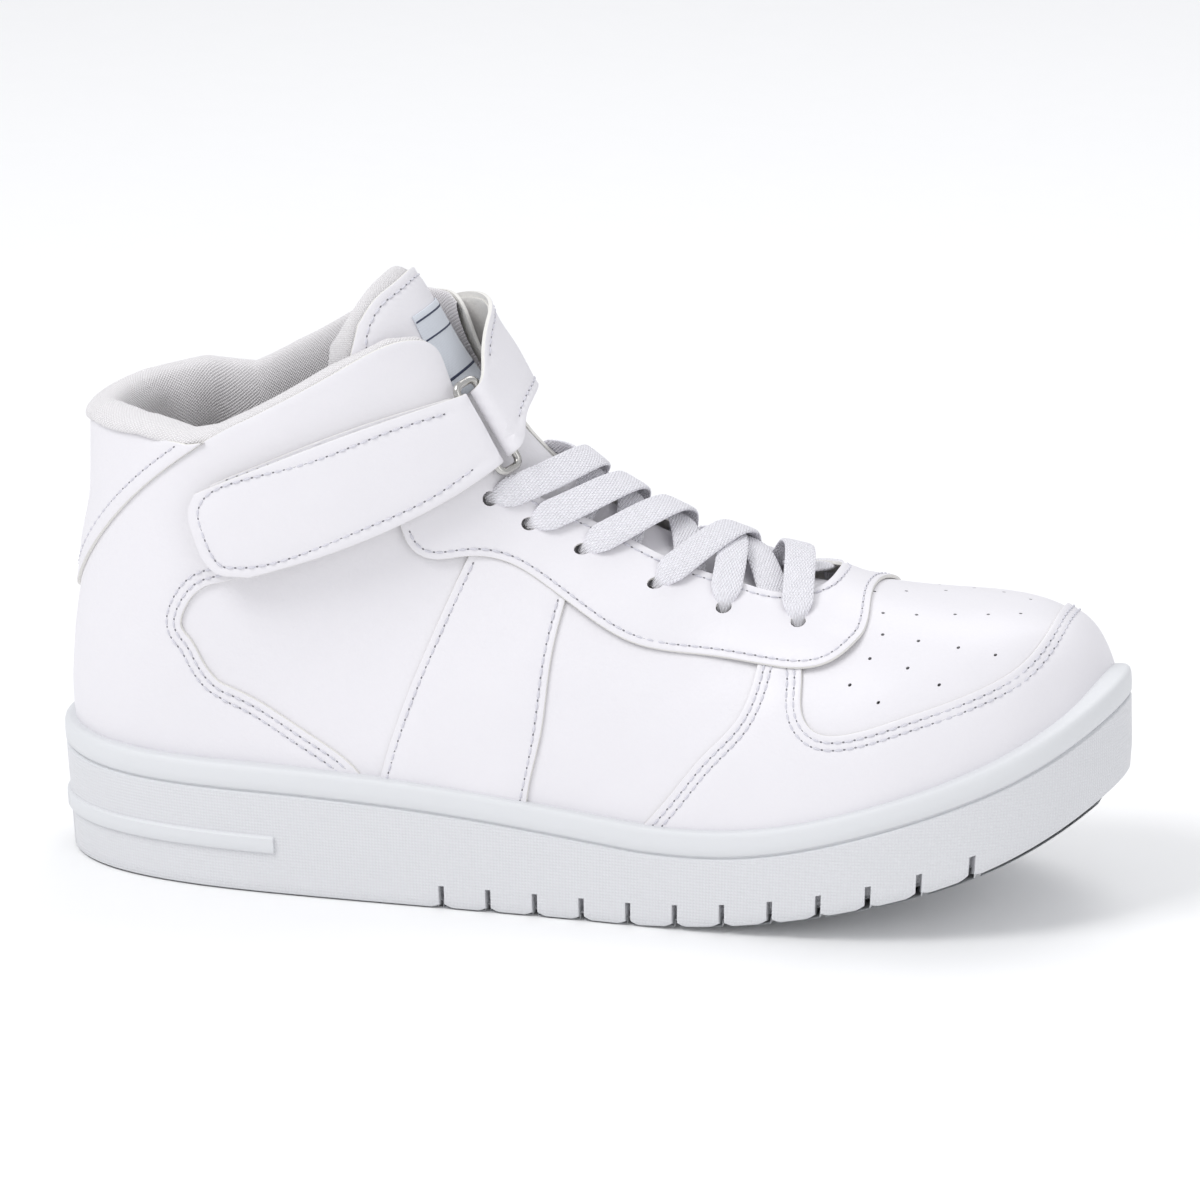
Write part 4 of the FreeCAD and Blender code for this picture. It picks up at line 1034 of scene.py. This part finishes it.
FAR_LIFT = Curve([-12, 20, 60, 90, 100, 108.5], [1.35, 1.35, 3.4, 4.5, 4.6, 5.6])
far_bar = bar_top + bar_across * RING_SPAN
# the angle round the ankle at which the far strap passes its bar, at each of some levels
BAR_LEVELS, SWEEP = np.linspace(1.2, 2.5, 14), np.linspace(96, 118, 45)
past_bar = (skin(BAR_LEVELS[:, None], SWEEP[None], BAR_DEPTH) - far_bar) @ bar_across
far_angles = [np.interp(0, -gone, SWEEP) for gone in past_bar]
FAR_FOLD = 1.9   # radius of the fold's inner face


def far_point(u, theta):
    """Inner face of the far strap: over the inner ankle, then turning round the far bar."""
    u, theta = np.broadcast_arrays(np.asarray(u, float), np.asarray(theta, float))
    flat = np.minimum(theta, np.interp(u, BAR_LEVELS, far_angles))
    centre, arm = arm_from(far_bar, skin(u, flat, FAR_LIFT(flat)))
    ease = np.clip((theta - flat)[..., None] / 2.5, 0, 1) ** 2
    arm = arm * (1 + ease * (FAR_FOLD / np.linalg.norm(arm, axis=-1, keepdims=True) - 1))
    return swung(centre, arm, FAR_TURN * (theta - flat))


far = shell(far_point)


def far_swell(u, theta):
    """The far strap bows outwards along its middle."""
    return 1.5 * np.exp(-((u - 1.4) / 0.5) ** 2) * np.exp(-((theta - 76) / 18) ** 2)


FAR_TOP = [(1.50, 118), (1.44, 112), (1.28, 107.5), (1.06, 103), (0.82, 97), (0.55, 86),
           (0.38, 72), (0.32, 58), (0.42, 40), (0.75, 20), (1.20, 2), (1.50, -8)]
FAR_FOOT = [(2.22, -8), (2.18, 8), (2.08, 30), (1.98, 55), (1.93, 72), (1.94, 86), (2.00, 95),
            (2.10, 103), (2.24, 108), (2.32, 112), (2.35, 118)]
FAR_STRAP = [FAR_TOP, [(1.70, -11), (2.05, -11), (2.22, -8)], FAR_FOOT, [(1.50, 118)]]
far_rows = [row(edge, FAR_STRAP, 2.5, far) for edge in (FAR_TOP[2:], FAR_FOOT[:-2])]
panel("far_leaf", far, FAR_STRAP, PLY, PLY, LEATHER_PLY, rows=far_rows, relief=far_swell,
      sewn_as="far_stitches", stands_for=("far_strap", "far_strap_fold"))
FAR_LINING = [[(0.94, 98), (0.64, 86), (0.48, 72), (0.42, 58), (0.52, 40), (0.90, 22)],
              [(2.04, 22)],
              [(2.00, 35), (1.90, 55), (1.85, 72), (1.86, 86), (1.94, 98)], [(0.94, 98)]]
panel("far_leaf_lining", far, FAR_LINING, -0.05, 0.55, SOFT_PLY, rim=0.25,
      relief=far_swell, slot="knit", stands_for=("far_strap_lining",))


# ---------------------------------------------------------------- lace

# Each run goes from a near to a far (u, theta), at a height over the skin that changes on its
# way: over the throat, between two others, under it, or a stub from the far row's last eyelets.
OVER = Curve([50, 60, 66, 71, 76, 82, 90, 105, 119, 127],
             [-2.0, -1.9, -1.9, -1.2, 1.6, 3.0, 3.5, 3.0, 1.9, 1.5])
BETWEEN = Curve([50, 60, 66, 72, 90, 105, 119, 127],
                [-2.2, -2.2, -2.2, -1.0, 1.5, 1.9, 1.7, 1.5])
UNDER = Curve([53, 61, 70, 90, 106, 122], [1.5, 1.7, 1.3, -0.5, -1.8, -1.9])
TAIL = Curve([53, 61, 66, 72, 78, 92], [1.5, 1.7, 1.4, -1.2, -2.2, -2.4])
RUNS = [((2.62, 125.5), (3.15, 58), OVER), ((3.05, 122), (3.75, 58), OVER),
        ((3.60, 120), (4.35, 58), OVER), ((4.38, 121.5), (5.05, 58), OVER),
        ((5.10, 122.5), (4.35, 58), BETWEEN), ((5.90, 121.5), (5.20, 58), OVER),
        ((3.40, 122), (2.62, 55), UNDER), ((4.00, 122), (3.05, 58.5), UNDER),
        ((4.75, 122), (3.60, 60.5), UNDER), ((5.75, 122), (4.38, 59), UNDER),
        ((4.85, 90), (5.10, 58.5), TAIL), ((5.55, 90), (5.90, 59.5), TAIL)]
LACE_COLUMNS, LACE_STATIONS = 30, 150
PINCH_LENGTH, DIP_LENGTH, DIP_DEPTH = 7.0, 1.9, 4.2   # near the hole that a run goes into
PINCHED_HALF, HALF_GAIN, PINCHED_PLY, PLY_LOSS, PINCH_CURL = 2.3, 1.95, 0.95, 0.15, 1.1
BRAID_HEIGHT, BRAID_PITCH, BRAID_WIDTH, BRAID_LEAN, LACE_LIFT = 0.13, 1.9, 1.55, 2.2, 0.7


def squared(wave, power):
    """Sine or cosine with flatter tops."""
    return np.sign(wave) * np.abs(wave) ** power


def lace_run(start, end, lift):
    """Flat braid from its near end to its far end, pinched where it enters a hole."""
    theta = np.linspace(start[1], end[1], LACE_STATIONS)
    u = start[0] + (end[0] - start[0]) * (theta - start[1]) / (end[1] - start[1])
    centre = skin(u, theta, lift(theta))
    arc = arc_length(centre)
    from_hole = arc if lift is OVER or lift is BETWEEN else arc[-1] - arc
    pinch = eased(np.clip(from_hole / PINCH_LENGTH, 0, 1))
    dip = -DIP_DEPTH * np.exp(-(from_hole / DIP_LENGTH) ** 2)
    up = unit(outward(section_point, u, theta))
    centre = centre + up * dip[:, None]
    ahead = unit(np.gradient(centre, axis=0))
    side = unit(np.cross(up, ahead))
    face_up = unit(np.cross(ahead, side))
    half = PINCHED_HALF + HALF_GAIN * pinch
    ply = PINCHED_PLY - PLY_LOSS * pinch
    turn = full_turn(LACE_COLUMNS)
    wide, high = squared(np.cos(turn), 0.6), squared(np.sin(turn), 0.75)
    cross = half[:, None] * wide[None]
    curl = (1 - pinch)[:, None] * PINCH_CURL * np.abs(wide)[None] ** 2
    braid = (BRAID_HEIGHT
             * np.cos(arc[:, None] * 2 * np.pi / BRAID_PITCH + np.abs(cross) * BRAID_LEAN)
             * np.cos(cross * 2 * np.pi / BRAID_WIDTH) * np.sign(high)[None])
    thick = ply[:, None] * high[None] - curl + braid * (np.abs(high)[None] > 0.3)
    spot = (centre[:, None] + side[:, None] * cross[..., None]
            + face_up[:, None] * thick[..., None] + up[:, None] * LACE_LIFT)
    cloth = np.stack([np.broadcast_to(arc[:, None], cross.shape), cross], -1)
    ends = [tuple(range(LACE_COLUMNS))[::-1],
            tuple(LACE_COLUMNS * (len(theta) - 1) + i for i in range(LACE_COLUMNS))]
    return (spot.reshape(-1, 3), cloth.reshape(-1, 2),
            tube_faces(len(theta), LACE_COLUMNS, close=True) + ends)


lace_verts, lace_uv, lace_faces = [], [], []
for run in RUNS:
    run_verts, run_uv, run_faces = lace_run(*run)
    lace_faces += [tuple(len(lace_verts) + v for v in f) for f in run_faces]
    lace_verts.extend(run_verts)
    lace_uv.extend(run_uv)
make("flat_lace", lace_verts, lace_faces, [lace_cloth], slot="lace", uv=lace_uv, sharp=80,
     stands_for=("lace",))


# ---------------------------------------------------------------- sole unit

OUTER_PLAN = [(-150, 0), (-147.5, -15.5), (-136, -30.5), (-112, -41.5), (-75, -46), (-35, -47.2),
              (10, -48.5), (55, -51), (95, -48), (125, -35.5), (143, -17), (150, 6)]
INNER_PLAN = [(143.5, 26.5), (125, 44), (95, 52), (55, 48.5), (10, 42), (-35, 39), (-75, 40),
              (-112, 38.5), (-136, 29), (-147.5, 15)]
TOE_SPRING = Curve([-150, -60, -20, 10, 25, 40, 60, 90, 120, 140, 150],
                   [-8, -4, -2, -0.7, 0, 1.0, 3.6, 10, 19.5, 30, 37])
WALL = Curve([-150, -135, -80, -20, 60, 110, 150], [38, 37, 36.5, 33.5, 27, 29.5, 29])
SLOTS, SLOT_HALF, SLOT_DEPTH = [-31.0 + 13.4 * i for i in range(12)], 0.75, 2.0
SLOT_INSET, FLARE_REACH, FLARE_RISE = 4, 1.9, 0.9   # a slot's lower edges open a little
BAR_END, GROOVE_DROP, GROOVE = -79.0, 6.8, 1.1   # the heel's bar, and the groove under the rim
SLIT_X, SLIT_HALF, SLIT_DEPTH, SLIT_LOW, SLIT_HIGH = -146.5, 0.35, 0.9, 3, 16
COLUMN_STEP, EDGE_HALF = 1.3, 0.04   # between the wall's columns, and half a sharp edge's width
RINGS, RING_PITCH, RING_HEIGHT = ((82, 0, 33), (-104, -1, 25)), 5.6, 0.9
RIB_PITCH, RIB_HEIGHT, PLAIN_RIM = 6.4, 0.8, 7


def spring(x):
    """Height of the sole's underside, which lifts towards the toe."""
    return np.maximum(TOE_SPRING(x), 0.0)


def plan_line():
    """Fine closed line of the sole's outline, with its length along it."""
    points = np.array(OUTER_PLAN + INNER_PLAN, float)
    lap = 5   # points repeated before the start and after the end, so that the spline closes
    wrapped = np.concatenate([points[-lap:], points, points[:lap + 1]])
    arc = arc_length(wrapped)
    fine = np.linspace(arc[lap], arc[lap + len(points)], 6001)
    line = np.stack([Curve(arc, wrapped[:, i])(fine) for i in (0, 1)], 1)
    return line, arc_length(line)


def level_growth(z):
    """Draft of the moulded wall at a height."""
    return (np.interp(z, [-12, 44, 75], [0.977, 1.0, 0.994]),
            np.interp(z, [-12, 44, 75], [0.942, 1.0, 0.985]))


def last_tree(inflate):
    """Search tree of the upper's surface, moved in or out."""
    u, theta = np.meshgrid(np.linspace(1.5, 10, 120), np.arange(-90, 271, 4.0), indexing="ij")
    verts = section_point(u, theta, inflate)
    return BVHTree.FromPolygons(verts.reshape(-1, 3).tolist(), tube_faces(*u.shape))


def cup_wall(line, arc):
    """The sole's side wall in one strip, from its lower edge over its rim and down inside."""
    turning = int(np.argmax(line[:, 0]))

    def crossing(x, outer):
        """Arc length where one side of the outline passes x."""
        side = np.arange(turning) if outer else np.arange(turning, len(line))
        order = side if line[side[0], 0] < line[side[-1], 0] else side[::-1]
        return float(np.interp(x, line[order, 0], arc[order]))

    # columns crowd together at the slots, at the bar's ends and at the slit in the heel
    slots = [sorted(crossing(x + d, outer) for d in (-SLOT_HALF, SLOT_HALF))
             for outer in (True, False) for x in SLOTS]
    slit = crossing(SLIT_X, True)
    breaks = sorted([e for s in slots for e in s] + [slit - SLIT_HALF, slit + SLIT_HALF]
                    + [crossing(BAR_END, outer) for outer in (True, False)])
    columns = []
    for a, b in zip([0.0] + breaks, breaks + [arc[-1]]):
        inner = np.linspace(a, b, max(2, int((b - a) / COLUMN_STEP) + 2))
        inner[0] += EDGE_HALF
        inner[-1] -= EDGE_HALF
        columns.extend(inner)
    columns = np.array(columns)

    flat = along_line(columns, arc, line)
    ahead = unit(along_line(columns + 0.5, arc, line) - along_line(columns - 0.5, arc, line))
    inward = np.stack([-ahead[:, 1], ahead[:, 0]], 1)
    floor = spring(flat[:, 0])
    top = floor + WALL(flat[:, 0])
    tree = last_tree(0.0)
    reach = []
    for p, n, z in zip(flat, inward, top):
        hit = tree.ray_cast(Vector((*p, z)), Vector((*n, 0)), 25)
        reach.append(hit[3] if hit[0] is not None else 4.0)
    reach = np.array(reach)   # from the rim in to the upper
    in_slot, flare = np.zeros(len(columns)), np.zeros(len(columns))
    for a, b in slots:
        in_slot[(columns > a) & (columns < b)] = 1
        near = np.minimum(np.abs(columns - a), np.abs(columns - b))
        flare = np.maximum(flare, np.clip(1 - near / FLARE_REACH, 0, 1))
    on_bar = (flat[:, 0] < BAR_END).astype(float)
    in_slit = (columns > slit - SLIT_HALF) & (columns < slit + SLIT_HALF)

    # rows of (height, inset, 1 where the rubber is ribbed)
    lift = SLOT_DEPTH * in_slot + FLARE_RISE * flare * (1 - in_slot)
    cut, plain = SLOT_INSET * in_slot, 1 - on_bar
    rows = [(floor + SLOT_DEPTH * in_slot + 1.0, 9.0, 0), (floor + SLOT_DEPTH * in_slot, 3.2, 0),
            (floor + lift, 0.9 + cut, 0), (floor + 0.35 + lift, 0.3 + cut, 0),
            (floor + 0.95 + lift, cut, 1)]
    rows += [(floor + height, cut, 1) for height in (3.4, 5.4, 6.35)]
    rows += [(floor + height, 0.0, 1) for height in (6.5, 8.5, 10.6)]
    base = np.where(on_bar > 0, 0, floor)
    rows.append((base + 11.9, 0.0, 1))
    rows += [(base + height, -1.0 * on_bar * share, plain) for height, share in (
        (12.0, 0.8), (12.4, 1), (14.2, 1), (16.1, 0.95), (16.5, 0.55))]
    groove_foot = top - GROOVE_DROP - GROOVE
    rows += [(base + 16.7 + (groove_foot - (base + 16.7)) * share, 0.0, 1)
             for share in (0, 0.25, 0.5, 0.75, 0.96)]
    rows += [(groove_foot + rise, inset, 0)
             for rise, inset in ((-0.12, 0.02), (0.1, 0.35), (0.25, 0.95))]
    rows += [(top - drop, inset, 0) for drop, inset in (
        (GROOVE_DROP + 0.25, 0.95), (GROOVE_DROP, 0.2), (GROOVE_DROP - 0.5, -0.08),
        (4.2, -0.14), (1.8, -0.02), (0.7, 0.3), (0.15, 0.9), (0, np.minimum(1.7, reach * 0.7)),
        (0.05, np.maximum(reach - 0.3, 1.0)), (0.3, reach + 1.9), (4.0, reach + 2.3))]
    grid, zones, spread = [], [], []
    for height, inset, zone in rows:
        inset = inset + SLIT_DEPTH * (in_slit & (height > SLIT_LOW) & (height < SLIT_HIGH))
        grow_x, grow_y = level_growth(height)
        grid.append(np.stack([flat[:, 0] * grow_x + inward[:, 0] * inset,
                              flat[:, 1] * grow_y + inward[:, 1] * inset, height], -1))
        zones.append(zone * np.ones(len(columns)))
        spread.append(np.stack([columns, height], -1))
    make("cup_wall", np.concatenate(grid), tube_faces(len(rows), len(columns), close=True),
         [rubber], slot="sole", stands_for=("cupsole",), uv=np.concatenate(spread),
         marks=np.concatenate(zones), sharp=38)


def tread(line):
    """Underside: cross grooves, rings to turn on under the ball and the heel, and fine ribs."""
    outer, inner = line[line[:, 1] < 1.5], line[line[:, 1] >= 1.5]
    outer, inner = outer[np.argsort(outer[:, 0])], inner[np.argsort(inner[:, 0])]
    cuts = [x + side * (SLOT_HALF + d) for x in SLOTS for side in (-1, 1) for d in (-0.02, 0.02)]
    x = np.sort(np.concatenate([np.arange(-145.5, 144.6, 1.0), cuts]))
    growth = level_growth(spring(x))
    low = np.interp(x / growth[0], outer[:, 0], outer[:, 1]) * growth[1] + 1.0
    high = np.interp(x / growth[0], inner[:, 0], inner[:, 1]) * growth[1] - 1.0
    share = np.linspace(0, 1, 92)
    y = low[:, None] + (high - low)[:, None] * share[None]
    x = np.broadcast_to(x[:, None], y.shape)
    in_slot = np.min([np.abs(x - slot) for slot in SLOTS], axis=0) < SLOT_HALF
    relief = np.zeros(y.shape)
    rings = np.zeros(y.shape, bool)
    for cx, cy, size in RINGS:
        radius = np.hypot(x - cx, y - cy)
        rings |= radius < size + 1.5
        ring = RING_HEIGHT * (np.sin(radius * 2 * np.pi / RING_PITCH) > 0.35)
        relief = np.where(radius < size, ring, relief)
    ribs = RIB_HEIGHT * (np.sin((x + y) * 2 * np.pi / RIB_PITCH)
                         * np.sin((x - y) * 2 * np.pi / RIB_PITCH) > 0.2)
    rim = np.minimum(share, 1 - share)[None] * (high - low)[:, None] > PLAIN_RIM
    relief = np.where(~rings & rim, ribs, relief)
    z = spring(x) + np.where(in_slot, SLOT_DEPTH, relief)
    verts = np.stack([x, y, z], -1)
    make("tread", verts.reshape(-1, 3), tube_faces(*y.shape), [rubber], slot="sole", sharp=30,
         uv=np.stack([x, y], -1).reshape(-1, 2), marks=np.zeros(y.size))


plan, plan_arc = plan_line()
cup_wall(plan, plan_arc)
tread(plan)


# ---------------------------------------------------------------- sockliner

def footbed(x):
    """Height of the insole board, higher at the heel."""
    blend = 1 / (1 + np.exp(-(x + 10) / 25.0))
    return 22.0 * (1 - blend) + 12.0 * blend + spring(x)


def sockliner():
    """Soft insole, dished at the heel, with a knit face."""
    tree = last_tree(-4.6)
    xs = np.arange(-132, 128.1, 2.0)
    share = np.linspace(-1, 1, 41)
    upper, lower = [], []
    for x in xs:
        z = float(footbed(x)) + 5.6
        ends = []
        for direction in (-1, 1):
            hit = tree.ray_cast(Vector((x, 1.0, z)), Vector((0, direction, 0)), 80)
            ends.append(hit[0][1] - 0.4 * direction if hit[0] is not None else 1.0 + direction)
        y = (ends[0] + ends[1]) / 2 + (ends[1] - ends[0]) / 2 * np.sin(share * np.pi / 2)
        dish = 1.5 * np.abs(share) ** 3 * np.clip((-x - 20) / 60, 0, 1)
        round_off = 1.4 * np.clip((np.abs(share) - 0.9) / 0.1, 0, 1) ** 2
        arch = 0.15 * np.sin(x / 9.0) * np.sin(y / 8.0)
        upper.append(np.stack([0 * y + x, y, z + 0.25 + dish - round_off + arch], -1))
        lower.append(np.stack([0 * y + x, y, 0 * y + z - 3.3], -1))
    upper, lower = np.array(upper), np.array(lower)
    verts = np.concatenate([upper.reshape(-1, 3), lower.reshape(-1, 3)])
    piece = make("insole_cushion", verts, pad_faces(*upper.shape[:2]), [knit], slot="sockliner",
                 sharp=70, stands_for=("sockliner",), uv=verts[:, :2])


sockliner()


# ---------------------------------------------------------------- camera, floor and light

# the camera looks at the shoe from its outer side, a little from above and from the front
azimuth, elevation, distance = math.radians(14), math.radians(18), 2.0
back = Vector((math.sin(azimuth) * math.cos(elevation), -math.cos(azimuth) * math.cos(elevation),
               math.sin(elevation)))
right = Vector((math.cos(azimuth), math.sin(azimuth), 0))
target = right * 0.0028 + back.cross(right) * 0.0742
view_from = back * distance
camera_data = bpy.data.cameras.new("camera")
camera_data.lens, camera_data.sensor_width = 216.0, 36.0
camera = bpy.data.objects.new("camera", camera_data)
camera.location = view_from
camera.rotation_euler = (target - view_from).to_track_quat("-Z", "Y").to_euler()
bpy.context.scene.collection.objects.link(camera)
bpy.context.scene.camera = camera

floor_finish = finish("studio_floor", (0.93, 0.93, 0.93), 0.7, 0.005, layers=(
    ("noise", 40, 0.0002, 0.1),))
floor_mesh = bpy.data.meshes.new("studio_floor")
floor_mesh.from_pydata([(-6, -6, -0.0003), (6, -6, -0.0003), (6, 6, -0.0003), (-6, 6, -0.0003)],
                       [], [(0, 1, 2, 3)])
floor_mesh.materials.append(floor_finish)
floor = bpy.data.objects.new("studio_floor", floor_mesh)
bpy.context.scene.collection.objects.link(floor)


def softbox(name, place, aim, power, width):
    lamp = bpy.data.lights.new(name, "AREA")
    lamp.energy, lamp.size = power, width
    holder = bpy.data.objects.new(name, lamp)
    holder.location = place
    holder.rotation_euler = (Vector(aim) - Vector(place)).to_track_quat("-Z", "Y").to_euler()
    bpy.context.scene.collection.objects.link(holder)


softbox("key", (-0.9, -1.0, 1.7), (0, 0, 0.06), 19, 0.9)
softbox("fill", (1.4, -1.3, 0.9), (0, 0, 0.06), 5, 1.2)
softbox("top", (0.2, 0.9, 1.6), (0, 0, 0.08), 7, 1.0)
world = bpy.data.worlds.new("studio")
world.use_nodes = True
sky = world.node_tree.nodes["Background"]
sky.inputs["Color"].default_value = (0.96, 0.97, 1.0, 1)
sky.inputs["Strength"].default_value = 0.72
bpy.context.scene.world = world
bpy.context.scene.view_settings.view_transform = "Standard"
